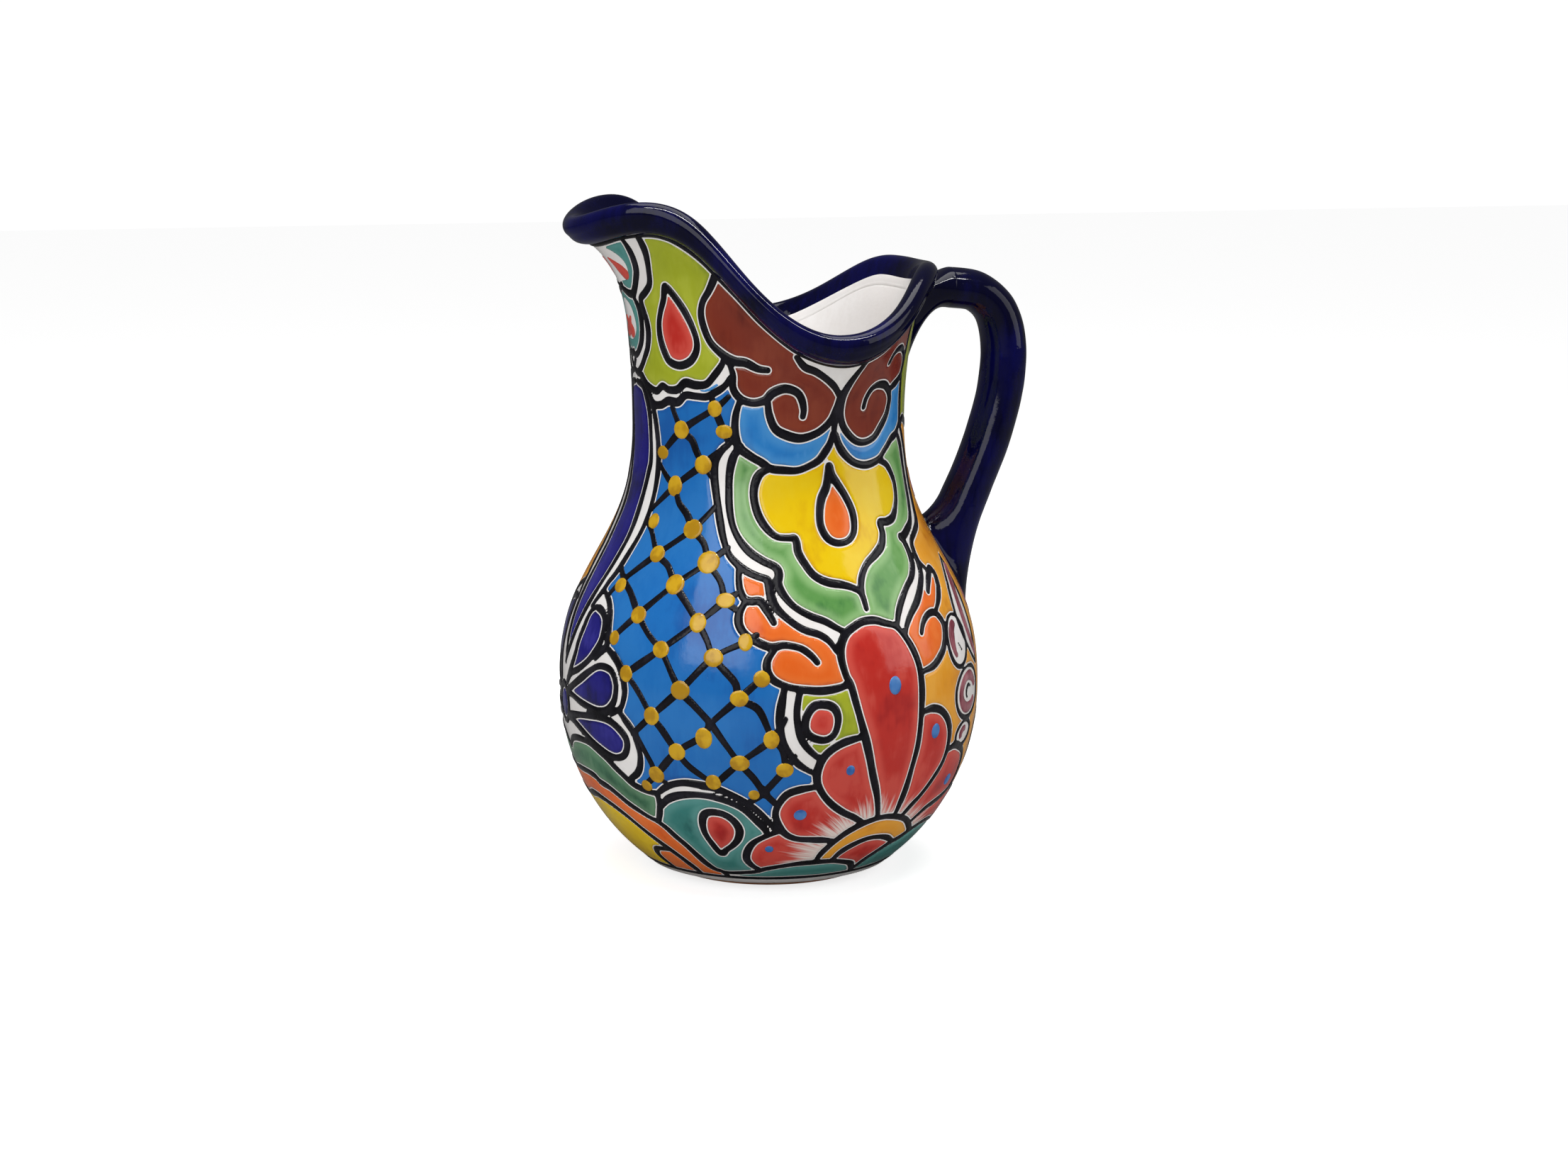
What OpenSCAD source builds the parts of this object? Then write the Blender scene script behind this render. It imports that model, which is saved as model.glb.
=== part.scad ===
// Hand-painted earthenware pitcher: a round-bellied jug with a curled pouring
// spout toward -X and a strap handle toward +X, standing on its foot at Z = 0.
// The origin lies under the middle of the whole box, so the thrown axis is at X = axis_x.

/* [Body] */
// Diameter of the belly at its widest
belly_d = 156; // [150:1:162]
// Height of the widest part of the belly
belly_z = 68; // [66:1:70]
// Vertical half-axis of the ellipse under the widest part
belly_drop = 80; // [78:0.5:84]
// How much the shoulder bulges past a plain S-curve
shoulder_fullness = 3.7; // [0:0.1:4]
// Diameter of the neck at its narrowest
neck_d = 100; // [97:1:103]
// Height of the narrowest part of the neck
neck_z = 167; // [164:1:170]
// Thickness of the fired wall
wall = 5; // [4:0.5:6]
// Thickness of the floor
floor_t = 7; // [5:0.5:9]

/* [Foot] */
// Outer diameter of the foot ring
foot_d = 75; // [72:1:78]
// Width of the foot ring's tread
foot_w = 6; // [4:0.5:8]
// Height of the foot ring
foot_h = 2; // [1.5:0.5:3]

/* [Rim] */
// Height of the lip's centre at the tip of the spout
spout_tip_z = 237.5; // [232:0.5:240]
// Height of the lip's centre at the spout's two shoulders
spout_shoulder_z = 243.5; // [240:0.5:246]
// Height of the lip's centre at the dip on each side
side_z = 198.5; // [196:0.5:202]
// Height of the lip's centre beside the handle
back_z = 220; // [216:0.5:222]
// Height of the lip's centre at the handle
handle_rim_z = 219.5; // [216:0.5:221]
// Reach of the lip's centre from the axis at the tip of the spout
spout_reach = 71.5; // [68:0.5:75]
// Reach where the spout runs into the mouth
throat_reach = 53; // [51:0.5:55]
// Reach at each side of the mouth
side_reach = 62; // [59:0.5:65]
// Reach beside the handle
back_reach = 57.5; // [55:0.5:60]
// Reach at the handle
handle_reach = 58; // [56:0.5:60]
// Radius of the lip's rolled bead
lip_r = 4; // [3.5:0.1:4.5]
// Height of the thickened lip, from its lower edge to its top
lip_h = 12.5; // [11:0.5:14]
// Extra bulge of the lip's outer face
lip_swell = 0.8; // [0:0.1:1.5]

/* [Handle] */
// Thickness of the strap where it leaves the rim
strap_t_top = 15; // [13:0.5:16]
// Thickness of the strap over the grip
strap_t = 17; // [16:0.5:20]
// Width of the strap
strap_w = 22; // [19:0.5:24]

/* [Hidden] */

segments = 60;
strap_sides = 16;
axis_x = -10.9;
glaze_white = "#e8e4de";
glaze_cobalt = "#17164a";
bare_clay = "#b5714a";

// Angle round the axis of each key station of the rim, from the spout's tip (0)
// to the handle (180), with the value that the rim takes there.
rim_heights = [
    [0, spout_tip_z],
    [29, spout_shoulder_z],
    [99, side_z],
    [160, back_z],
    [180, handle_rim_z]
];
rim_reaches = [
    [0, spout_reach],
    [50, throat_reach],
    [105, side_reach],
    [150, back_reach],
    [180, handle_reach]
];
// Share of the flare that is a tight curl just under the lip.
rim_curls = [[0, 0.65], [60, 1], [110, 0], [180, 0.3]];

// The path of the strap's centre, as [x, z], from the upper joint to the lower one.
strap_path = [[69, 213], [80, 211], [88, 203.5], [91.2, 190], [89.5, 172], [83.5, 152], [75.5, 133]];
strap_steps = 4;
// The half height and half width of the patch that each joint covers on the pot.
top_patch = [0.85, 13];
top_patch_centre = 1.05;
bottom_patch = [22, 14];
bottom_patch_z = 106;
joint_rings = 6;

mid_neck = neck_d / 2 - wall / 2;
base_z = foot_h;

// A cosine ease between the two stations that the angle lies between.
function fold(phi) = abs(((phi + 540) % 360) - 180);
function ease_at(keys, a, i = 0) =
    i >= len(keys) - 2 || a <= keys[i + 1][0]
        ? let (t = (a - keys[i][0]) / (keys[i + 1][0] - keys[i][0]))
            keys[i][1] + (keys[i + 1][1] - keys[i][1]) * (1 - cos(180 * t)) / 2
        : ease_at(keys, a, i + 1);
function along(keys, phi) = ease_at(keys, fold(phi));

// A point at reach r and height z, phi degrees round from the spout.
function place(phi, rz) = [-rz[0] * cos(phi), -rz[0] * sin(phi), rz[1]];

// Outer radius of the thrown pot, from the foot to the neck.
function pot_r(z) =
    z < belly_z
        ? belly_d / 2 * sqrt(1 - pow((belly_z - z) / belly_drop, 2))
        : let (c = cos(180 * (z - belly_z) / (neck_z - belly_z)))
            neck_d / 2 + (belly_d - neck_d) / 4 * (1 + c) + shoulder_fullness * c * (1 - c * c);
function pot_slope(z) = (pot_r(z + 0.05) - pot_r(z - 0.05)) / 0.1;
// The same profile moved inward by d, square to the wall.
function pot_in(z, d) = let (s = pot_slope(z)) [pot_r(z) - d / sqrt(1 + s * s), z + d * s / sqrt(1 + s * s)];

// Middle of the wall above the neck: t runs from 0 at the neck to 1 at the lip's centre.
function wall_mid(phi, t) =
    let (c = along(rim_curls, phi), bend = (1 - c) * t * t + c * pow(t, 7))
        [
            mid_neck + (along(rim_reaches, phi) - mid_neck) * bend,
            neck_z + (along(rim_heights, phi) - neck_z) * t
        ];
function unit(v) = v / norm(v);
function wall_way(phi, t) = unit(wall_mid(phi, t + 0.005) - wall_mid(phi, t - 0.005));
function outward(way) = [way[1], -way[0]];
// Where the wall ends and the lip begins.
function lip_t(phi) = 1 - (lip_h - lip_r) / (norm(wall_mid(phi, 1) - wall_mid(phi, 0.99)) * 100);
function lip_way(phi) = unit(wall_mid(phi, 1) - wall_mid(phi, lip_t(phi)));
function lip_len(phi) = norm(wall_mid(phi, 1) - wall_mid(phi, lip_t(phi)));

// A face of the wall above the neck: q runs from 0 at the neck to 1 at the lip, side is 1 outside, -1 inside.
function neck_face(phi, q, side) =
    let (t = q * lip_t(phi), way = q == 1 ? lip_way(phi) : q == 0 ? [0, 1] : wall_way(phi, t))
        wall_mid(phi, t) + outward(way) * side * wall / 2;

// A point of the lip's section: u outward and v up the wall from the lip's lower edge.
function lip_point(phi, uv) =
    wall_mid(phi, lip_t(phi)) + outward(lip_way(phi)) * uv[0] + lip_way(phi) * uv[1];
function lip_outer(s) = wall / 2 + (lip_r - wall / 2) * sin(90 * s) + lip_swell * sin(180 * s);
function lip_inner(s) = -wall / 2 - (lip_r - wall / 2) * sin(90 * s);
function lip_section(phi) =
    let (h = lip_len(phi))
        [
            for (s = [0 : 1 / 2 : 0.9]) [lip_inner(s), s * h],
            for (a = [180 : -30 : 0]) [lip_r * cos(a), h + lip_r * sin(a)],
            for (s = [2 / 3 : -1 / 3 : -0.1]) [lip_outer(max(s, 0)), max(s, 0) * h]
        ];

// The pot's outside behind the handle: q from 0 to 1 up the neck, and from 1 to 2 up the lip.
function outside(phi, q) =
    place(phi, q <= 1 ? neck_face(phi, q, 1) : lip_point(phi, [lip_outer(q - 1), (q - 1) * lip_len(phi)]));

// A closed skin over rings of points. A loop joins its last ring to its first;
// otherwise each end is closed round a middle point.
module skin(rings, ends = []) {
    n = len(rings[0]);
    m = len(rings);
    loop = len(ends) == 0;
    points = [for (r = rings) each r, each ends];
    sides = [
        for (i = [0 : m - (loop ? 1 : 2)], j = [0 : n - 1])
            let (a = i * n + j, b = i * n + (j + 1) % n, up = (i + 1) % m * n - i * n)
                each [[a, b, b + up], [a, b + up, a + up]]
    ];
    caps = loop ? [] : [
        for (j = [0 : n - 1])
            each [[m * n, (j + 1) % n, j], [m * n + 1, (m - 1) * n + j, (m - 1) * n + (j + 1) % n]]
    ];
    polyhedron(points, [each sides, each caps], convexity = 8);
}

function ring(f) = [for (i = [0 : segments - 1]) let (phi = -i * 360 / segments) place(phi, f(phi))];

module body() {
    low = asin((belly_z - base_z - 3) / belly_drop);
    low_rows = [for (a = [-low : low / 8 : -0.1]) belly_z + belly_drop * sin(a)];
    high_rows = [for (i = [0 : 11]) belly_z + (neck_z - belly_z) * i / 12];
    rows = [each low_rows, each high_rows];
    color(glaze_white)
        skin(
            [
                ring(function (phi) [foot_d / 2 + 2.5, base_z]),
                for (z = rows) ring(function (phi) [pot_r(z), z]),
                for (q = [0 : 1 / 7 : 1.01]) ring(function (phi) neck_face(phi, min(q, 1), 1)),
                for (q = [1 : -1 / 6 : -0.01]) ring(function (phi) neck_face(phi, max(q, 0), -1)),
                for (i = [len(rows) - 1 : -1 : 1]) ring(function (phi) pot_in(rows[i], wall)),
                ring(function (phi) [foot_d / 2, base_z + floor_t])
            ],
            [[0, 0, base_z], [0, 0, base_z + floor_t]]
        );
}

module foot_ring() {
    color(bare_clay)
        rotate_extrude($fn = 96)
            translate([foot_d / 2 - foot_w, 0])
                square([foot_w, foot_h]);
}

module rim_band() {
    color(glaze_cobalt)
        skin([
            for (i = [0 : segments - 1])
                let (phi = -i * 360 / segments)
                    [for (uv = lip_section(phi)) place(phi, lip_point(phi, uv))]
        ]);
}

// The strap's centre path as a smooth curve through its points.
function path_at(k, t) =
    let (
        n = len(strap_path) - 1,
        p0 = strap_path[max(k - 1, 0)],
        p1 = strap_path[k],
        p2 = strap_path[min(k + 1, n)],
        p3 = strap_path[min(k + 2, n)]
    )
        (2 * p1 + (p2 - p0) * t + (2 * p0 - 5 * p1 + 4 * p2 - p3) * t * t
            + (3 * p1 - p0 - 3 * p2 + p3) * t * t * t) / 2;
function strap_at(s) = let (k = max(0, min(floor(s), len(strap_path) - 2))) path_at(k, s - k);
function strap_way(s) = unit(strap_at(s + 0.01) - strap_at(s - 0.01));
function strap_half(s) = (strap_t_top + (strap_t - strap_t_top) * min(s / 3, 1)) / 2;
// A ring of the strap: its angle starts at the outer side of the bend.
function strap_ring(s) =
    let (c = strap_at(s), w = strap_way(s), n = [-w[1], w[0]])
        [
            for (i = [0 : strap_sides - 1])
                let (a = i * 360 / strap_sides, r = strap_half(s) * cos(a))
                    [c[0] + n[0] * r, strap_w / 2 * sin(a), c[1] + n[1] * r]
        ];

module handle() {
    last = len(strap_path) - 1;
    a = strap_at(0);
    b = strap_at(last);
    rings = [for (i = [0 : last * strap_steps]) strap_ring(i / strap_steps)];
    color(glaze_cobalt)
        skin(rings, [[a[0], 0, a[1]], [b[0], 0, b[1]]]);
}

// A smooth clay joint from a ring of the strap (leaving along way) to a patch on the pot.
function swoop(p, way, q, middle, s) =
    let (reach = norm(q - p))
        (2 * s * s * s - 3 * s * s + 1) * p + (s * s * s - 2 * s * s + s) * way * reach
        + (3 * s * s - 2 * s * s * s) * q + (s * s * s - s * s) * unit(q - middle) * reach * 0.5;
// turn is 1 where the joint carries the strap on, and -1 where the strap starts from it.
module joint(strap, way, patch, turn) {
    n = strap_sides;
    centre = patch(0, 0);
    start = (strap[0] + strap[n / 2]) / 2;
    rings = [
        for (k = [0 : joint_rings])
            [
                for (i = [0 : n - 1])
                    let (from = strap[(n + turn * i) % n], to = patch(turn * i * 360 / n, 1))
                        swoop(from, way, to, centre, k / joint_rings)
            ],
        for (grow = [0.67, 0.33]) [for (i = [0 : n - 1]) patch(turn * i * 360 / n, grow)]
    ];
    color(glaze_cobalt)
        skin(rings, [start, centre]);
}

module handle_top_joint() {
    w = strap_way(0);
    half_angle = asin(top_patch[1] / handle_reach);
    patch = function (a, grow)
        outside(180 + half_angle * sin(a) * grow, top_patch_centre + top_patch[0] * cos(a) * grow);
    joint(strap_ring(0), -[w[0], 0, w[1]], patch, -1);
}

module handle_bottom_joint() {
    last = len(strap_path) - 1;
    w = strap_way(last);
    patch = function (a, grow)
        let (z = bottom_patch_z - bottom_patch[0] * cos(a) * grow, y = bottom_patch[1] * sin(a) * grow)
            [sqrt(pow(pot_r(z), 2) - y * y), y, z];
    joint(strap_ring(last), [w[0], 0, w[1]], patch, 1);
}

translate([axis_x, 0, 0]) body();
translate([axis_x, 0, 0]) foot_ring();
translate([axis_x, 0, 0]) rim_band();
translate([axis_x, 0, 0]) handle();
translate([axis_x, 0, 0]) handle_top_joint();
translate([axis_x, 0, 0]) handle_bottom_joint();
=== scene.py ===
import math
import bmesh
import bpy
import numpy as np
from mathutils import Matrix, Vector


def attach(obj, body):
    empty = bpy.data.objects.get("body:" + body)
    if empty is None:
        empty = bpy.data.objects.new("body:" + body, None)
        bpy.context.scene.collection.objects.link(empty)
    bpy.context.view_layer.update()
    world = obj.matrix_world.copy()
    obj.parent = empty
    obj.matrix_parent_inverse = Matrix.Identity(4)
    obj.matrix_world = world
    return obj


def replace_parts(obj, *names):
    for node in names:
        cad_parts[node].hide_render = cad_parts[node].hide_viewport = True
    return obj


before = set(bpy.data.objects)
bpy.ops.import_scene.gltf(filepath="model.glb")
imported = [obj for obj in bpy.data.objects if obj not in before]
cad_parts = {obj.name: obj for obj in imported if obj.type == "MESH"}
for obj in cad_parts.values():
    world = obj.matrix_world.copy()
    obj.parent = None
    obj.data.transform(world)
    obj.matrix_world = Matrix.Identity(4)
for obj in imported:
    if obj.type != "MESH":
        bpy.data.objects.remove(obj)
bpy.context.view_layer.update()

# A wheel-thrown earthenware pitcher with a curled spout toward -X and a strap handle toward +X.
# Lengths are in millimetres until a mesh is made. "turn" is the angle round the pot in degrees:
# 0 at the spout, 90 on the near side (-Y), 180 at the handle. "level" is the height up to the
# neck, and above it 167 + 100 x the share of the way from the neck to the lip.

# ---------- the thrown shape ----------

AXIS_X = -10.9
NECK_Z = 167.0
LIP_LEVEL = 267.0
LIP_HEIGHTS = [(0, 237.5), (29, 243.5), (99, 198.5), (160, 220), (180, 219.5)]
LIP_REACHES = [(0, 71.5), (50, 53), (105, 62), (150, 57.5), (180, 58)]
LIP_CURLS = [(0, 0.65), (60, 1), (110, 0), (180, 0.3)]
WALL = 5.0
LIP_R = 4.0
# How far below the fired size each layer of glaze lies.
SLIP_DEPTH = -0.5
COLOUR_TOP = -0.31
LINE_TOP = -0.14
FINE_TOP = -0.16
DAB_TOP = -0.03


def eased(stations, turn):
    """A cosine ease between the two stations that the turn lies between."""
    at, value = np.array(stations, float).T
    a = np.abs((turn + 540) % 360 - 180)
    k = np.clip(np.searchsorted(at, a, side="right") - 1, 0, len(at) - 2)
    t = (a - at[k]) / (at[k + 1] - at[k])
    return value[k] + (value[k + 1] - value[k]) * (1 - np.cos(np.pi * t)) / 2


def place(turn, reach, height):
    a = np.radians(turn)
    return np.stack([AXIS_X - reach * np.cos(a), -reach * np.sin(a), height + 0 * a], -1)


def pot_reach(z):
    c = np.cos(np.pi * (z - 68) / 99)
    low = 78 * np.sqrt(np.maximum(1 - ((68 - z) / 80) ** 2, 0))
    return np.where(z < 68, low, 50 + 14 * (1 + c) + 3.7 * c * (1 - c * c))


def wall_middle(turn, t):
    curl = eased(LIP_CURLS, turn)
    bend = (1 - curl) * t**2 + curl * t**7
    return 47.5 + (eased(LIP_REACHES, turn) - 47.5) * bend, NECK_Z + (eased(LIP_HEIGHTS, turn) - NECK_Z) * t


def wall_way(turn, t0, t1):
    r0, z0 = wall_middle(turn, t0)
    r1, z1 = wall_middle(turn, t1)
    d = np.hypot(r1 - r0, z1 - z0)
    return (r1 - r0) / d, (z1 - z0) / d, d


def lip_start(turn):
    return 1 - 8.5 / (wall_way(turn, 0.99, 1.0)[2] * 100)


def pot_face(turn, level, offset):
    """A point of the pot's wall, offset outward from its outer face (or inward, as a minus)."""
    low = np.minimum(level, NECK_Z)
    slope = (pot_reach(low + 0.05) - pot_reach(low - 0.05)) / 0.1
    square = 1 / np.hypot(1, slope)
    t = np.maximum(level - NECK_Z, 0) / 100 * lip_start(turn)
    r, z = wall_middle(turn, t)
    wr, wz, _ = wall_way(turn, t - 0.005, t + 0.005)
    up = level > NECK_Z
    reach = np.where(up, r + wz * (WALL / 2 + offset), pot_reach(low) + offset * square)
    height = np.where(up, z - wr * (WALL / 2 + offset), low - offset * slope * square)
    return place(turn, reach, height)


def level_at(turn, height):
    """The level of the outer face at a height."""
    steps = np.linspace(0, 1, 41)
    faces = pot_face(turn[:, None] + 0 * steps, NECK_Z + 100 * steps + 0 * turn[:, None], 0.0)[..., 2]
    up = np.array([np.interp(h, f, steps) for h, f in zip(height, faces)])
    return np.where(height > NECK_Z, NECK_Z + 100 * up, height)


def lip_face(turn, u, v):
    """A point of the lip: u outward and v up the wall from the lip's lower edge."""
    start = lip_start(turn)
    r, z = wall_middle(turn, start)
    wr, wz, _ = wall_way(turn, start, 1.0)
    return place(turn, r + wz * u + wr * v, z - wr * u + wz * v)


def outside_face(turn, q, offset):
    """The outside behind the handle: q from 0 to 1 up the neck, and from 1 to 2 up the lip."""
    s = np.clip(q - 1, 0, 1)
    length = wall_way(turn, lip_start(turn), 1.0)[2]
    lip = lip_face(turn, 2.5 + 1.5 * np.sin(np.pi / 2 * s) + 0.8 * np.sin(np.pi * s) + offset, s * length)
    neck = pot_face(turn, NECK_Z + 100 * np.clip(q, 0, 1), offset)
    return np.where((q > 1)[..., None], lip, neck)


# ---------- meshes ----------


def make_piece(name, points, faces, flat_from=None, marks=None):
    """A mesh object from points in millimetres and arrays of faces, turned to face outward."""
    volume = 0.0
    for f in faces:
        a = points[f[:, 0]]
        for k in range(1, f.shape[1] - 1):
            volume += np.einsum("ij,ij->", a, np.cross(points[f[:, k]], points[f[:, k + 1]]))
    if volume < 0:
        faces = [f[:, ::-1] for f in faces]
    mesh = bpy.data.meshes.new(name)
    mesh.vertices.add(len(points))
    mesh.vertices.foreach_set("co", (points * 0.001).astype(np.float32).ravel())
    sizes = np.concatenate([np.full(len(f), f.shape[1]) for f in faces])
    corners = np.concatenate([f.ravel() for f in faces]).astype(np.int32)
    mesh.loops.add(len(corners))
    mesh.loops.foreach_set("vertex_index", corners)
    mesh.polygons.add(len(sizes))
    starts = np.concatenate([[0], np.cumsum(sizes)[:-1]]).astype(np.int32)
    mesh.polygons.foreach_set("loop_start", starts)
    smooth = np.ones(len(sizes), bool)
    if flat_from is not None:
        smooth[flat_from:] = False
    mesh.polygons.foreach_set("use_smooth", smooth)
    mesh.update(calc_edges=True)
    for key, values in (marks or {}).items():
        mark = mesh.attributes.new(key, "FLOAT", "POINT")
        mark.data.foreach_set("value", np.asarray(values, np.float32))
    piece = bpy.data.objects.new(name, mesh)
    bpy.context.scene.collection.objects.link(piece)
    return piece


def skin(name, rings, middles=None):
    """A closed skin over rings of points. Without middles the last ring joins the first."""
    m, n = rings.shape[:2]
    points = rings.reshape(-1, 3)
    i = np.arange(m if middles is None else m - 1)[:, None]
    j = np.arange(n)[None, :]
    a = i * n + j
    b = i * n + (j + 1) % n
    up = ((i + 1) % m - i) * n
    faces = [np.stack([a, b, b + up, a + up], -1).reshape(-1, 4)]
    if middles is not None:
        j = np.arange(n)
        points = np.concatenate([points, middles])
        faces.append(np.stack([np.full(n, m * n), (j + 1) % n, j], -1))
        faces.append(np.stack([np.full(n, m * n + 1), (m - 1) * n + j, (m - 1) * n + (j + 1) % n], -1))
    return make_piece(name, points, faces, len(faces[0]))


# ---------- brush paths on the pot ----------

COLUMNS = 540
LINE_W = 2.9
FINE_W = 2.6
GAP = 0.42
THIN_W = 1.9
PLUM_W = 4.2
CURL_W = 2.4
VINE_W = 2.6
BARE_W = 1.5
TOUCH_W = 1.3
DAB_W = 4.2
FOOT_LINE_W = 2.2
LIP_LINE_W = 2.8
REACH = 7.0


def painting_levels():
    """Rows of the painting, about a millimetre apart up the wall."""
    z = np.linspace(5, NECK_Z, 2000)
    run = np.concatenate([[0], np.cumsum(np.hypot(np.diff(z), np.diff(pot_reach(z))))])
    low = np.interp(np.linspace(0, run[-1], int(run[-1] / 0.9)), run, z)
    return np.concatenate([low[:-1], NECK_Z + 100 * np.linspace(0, 1, 82)])


LEVELS = painting_levels()
TURNS = -180 + 360 * np.arange(COLUMNS) / COLUMNS
GRID_TURN, GRID_LEVEL = np.meshgrid(TURNS, LEVELS)
GRID = pot_face(GRID_TURN, GRID_LEVEL, 0.0)


def brushed_path(stations, closed=False):
    """A smooth path through the given stations, sampled about every 0.4 mm."""
    p = np.array(stations, float)
    n = len(p)
    out = []
    for k in range(n if closed else n - 1):
        q = [p[(k + d) % n] if closed else p[min(max(k + d, 0), n - 1)] for d in (-1, 0, 1, 2)]
        steps = max(2, int(math.hypot((q[2][0] - q[1][0]) * 1.3, q[2][1] - q[1][1]) / 0.4))
        t = np.arange(steps)[:, None] / steps
        out.append((2 * q[1] + (q[2] - q[0]) * t + (2 * q[0] - 5 * q[1] + 4 * q[2] - q[3]) * t**2
                    + (3 * q[1] - q[0] - 3 * q[2] + q[3]) * t**3) / 2)
    if not closed:
        out.append(p[-1:])
    return np.concatenate(out)


def stamp(field, turn, level, half):
    """Lowers a distance field round each sample of a path."""
    points = pot_face(turn, level, 0.0)
    col = np.round((turn + 180) / 360 * COLUMNS).astype(int)
    row = np.clip(np.searchsorted(LEVELS, level), 0, len(LEVELS) - 1)
    di = np.arange(-9, 10)[:, None]
    dj = np.arange(-13, 14)[None, :]
    for part in np.array_split(np.arange(len(turn)), max(1, len(turn) // 3000)):
        i = row[part, None, None] + di + 0 * dj
        j = (col[part, None, None] + dj + 0 * di) % COLUMNS
        inside = (i >= 0) & (i < len(LEVELS))
        i = np.clip(i, 0, len(LEVELS) - 1)
        away = np.linalg.norm(GRID[i, j] - points[part, None, None, :], axis=-1) - half[part, None, None]
        np.minimum.at(field, (i[inside], j[inside]), away[inside])


def lay_stroke(field, stations, width, closed=False, ends=(1.0, 1.0), wobble=0.0, levels=False):
    path = brushed_path(stations, closed)
    turn, height = path.T
    level = height if levels else level_at(turn, height)
    points = pot_face(turn, level, 0.0)
    run = np.concatenate([[0], np.cumsum(np.linalg.norm(np.diff(points, axis=0), axis=1))])
    half = width / 2 * (1 + 0.10 * np.sin(run / 7.3 + wobble) + 0.06 * np.sin(run / 2.9 + 2.1 * wobble))
    if not closed:
        half = half * (ends[0] + (1 - ends[0]) * np.clip(run / 6, 0, 1))
        half = half * (ends[1] + (1 - ends[1]) * np.clip((run[-1] - run) / 6, 0, 1))
    stamp(field, turn, level, half)


def lean(z):
    """The front fan's centre line leans a little toward the near side."""
    return np.interp(z, [75, 120, 160, 190], [0, 6, 6, 0])


def mirrored(stations, how):
    p = np.array(stations, float)
    p[:, 0] = (2 * lean(p[:, 1]) if how == "front" else 0) - p[:, 0]
    return p


# ---------- the painted pattern ----------
# Stations are (turn, height). Each group is laid on the near side and again, mirrored, on the far side.

FRONT_LINES = [
    [(3, 182), (9, 181), (12, 178), (15, 172), (16, 165), (17, 155), (16, 150), (15, 144), (14.5, 138),
     (14.4, 129), (13.5, 123), (12, 116), (10, 109), (8.5, 104), (6.7, 98), (4.5, 91), (2.3, 85),
     (0.5, 80)],
    [(2, 186), (7, 185), (11, 183), (15.5, 178), (19, 172), (21, 165), (22, 160), (22.7, 154),
     (22.7, 148), (22.4, 141), (22, 136), (21, 130), (19, 123), (17, 116), (15, 112), (14, 109),
     (12, 105), (11, 103)],
    [(14.7, 109), (16.5, 108), (19.5, 106), (22, 102.5), (23.5, 98), (24.3, 94), (24, 91), (22, 88.5),
     (20, 86)],
    [(24, 91), (27, 89), (30, 86), (32, 82), (33, 78), (33, 75), (32, 71), (30, 69), (28, 67.5)],
    [(31, 69.5), (33, 67), (35.7, 63.5), (37, 59), (37.8, 54.5), (37.2, 50), (35.7, 47), (33, 44.5),
     (32, 43.5)],
]
FRONT_LOOPS = [
    [(15.3, 103), (13, 102.5), (11.3, 100), (10.4, 95.5), (9, 90), (8, 84.5), (6, 79.5), (3.3, 73.5),
     (6.7, 77.5), (11.6, 80.3), (16.5, 84.4), (19.6, 88.6), (21.2, 92), (21.5, 95.6), (20.6, 99.7),
     (18.4, 102)],
    [(4, 70), (8, 73.3), (13, 77), (18, 81), (21.5, 83.4), (24.6, 84), (27.7, 83), (29.5, 79.6),
     (29.8, 76), (29, 72), (26.4, 68.5), (22.7, 67.4), (18, 67.8), (13, 68.5), (8.5, 69.5)],
    [(4, 61), (10.4, 63), (16.5, 64.3), (22, 65.3), (27, 65), (30.7, 63), (33.2, 60), (33.5, 56.7),
     (32, 53.2), (29, 51.5), (25.8, 51.8), (22, 53.5), (17, 56), (12, 58.4), (8, 60)],
]
SPOUT_LINES = [
    [(17, 237), (17, 230), (16, 223), (14, 219), (12, 216), (10, 214), (7, 213.8), (3, 215), (-3, 217)],
    [(10, 212.5), (12, 208.5), (12.6, 204.6), (12.4, 201), (11, 197), (8.4, 194), (5.4, 192), (2, 191.6),
     (-2, 193)],
    [(23, 237), (23, 230), (22, 223), (21, 218), (18, 215), (14.4, 212.3), (15, 209), (16.5, 204.6),
     (17, 200), (15.6, 195), (13, 191.6), (10.5, 188.8), (7, 186.3), (4, 185.4), (0, 187), (-3, 190)],
]
SPOUT_WHITES = [
    [(1, 229), (7, 229.5), (10.7, 226), (10.5, 222), (7, 219.3), (2, 219.5), (-2, 222), (-2, 227)],
    [(-1, 211), (4, 209.4), (6.2, 205.6), (6.7, 201.7), (4.5, 199), (1, 198), (-3, 199), (-3, 208)],
]
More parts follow.
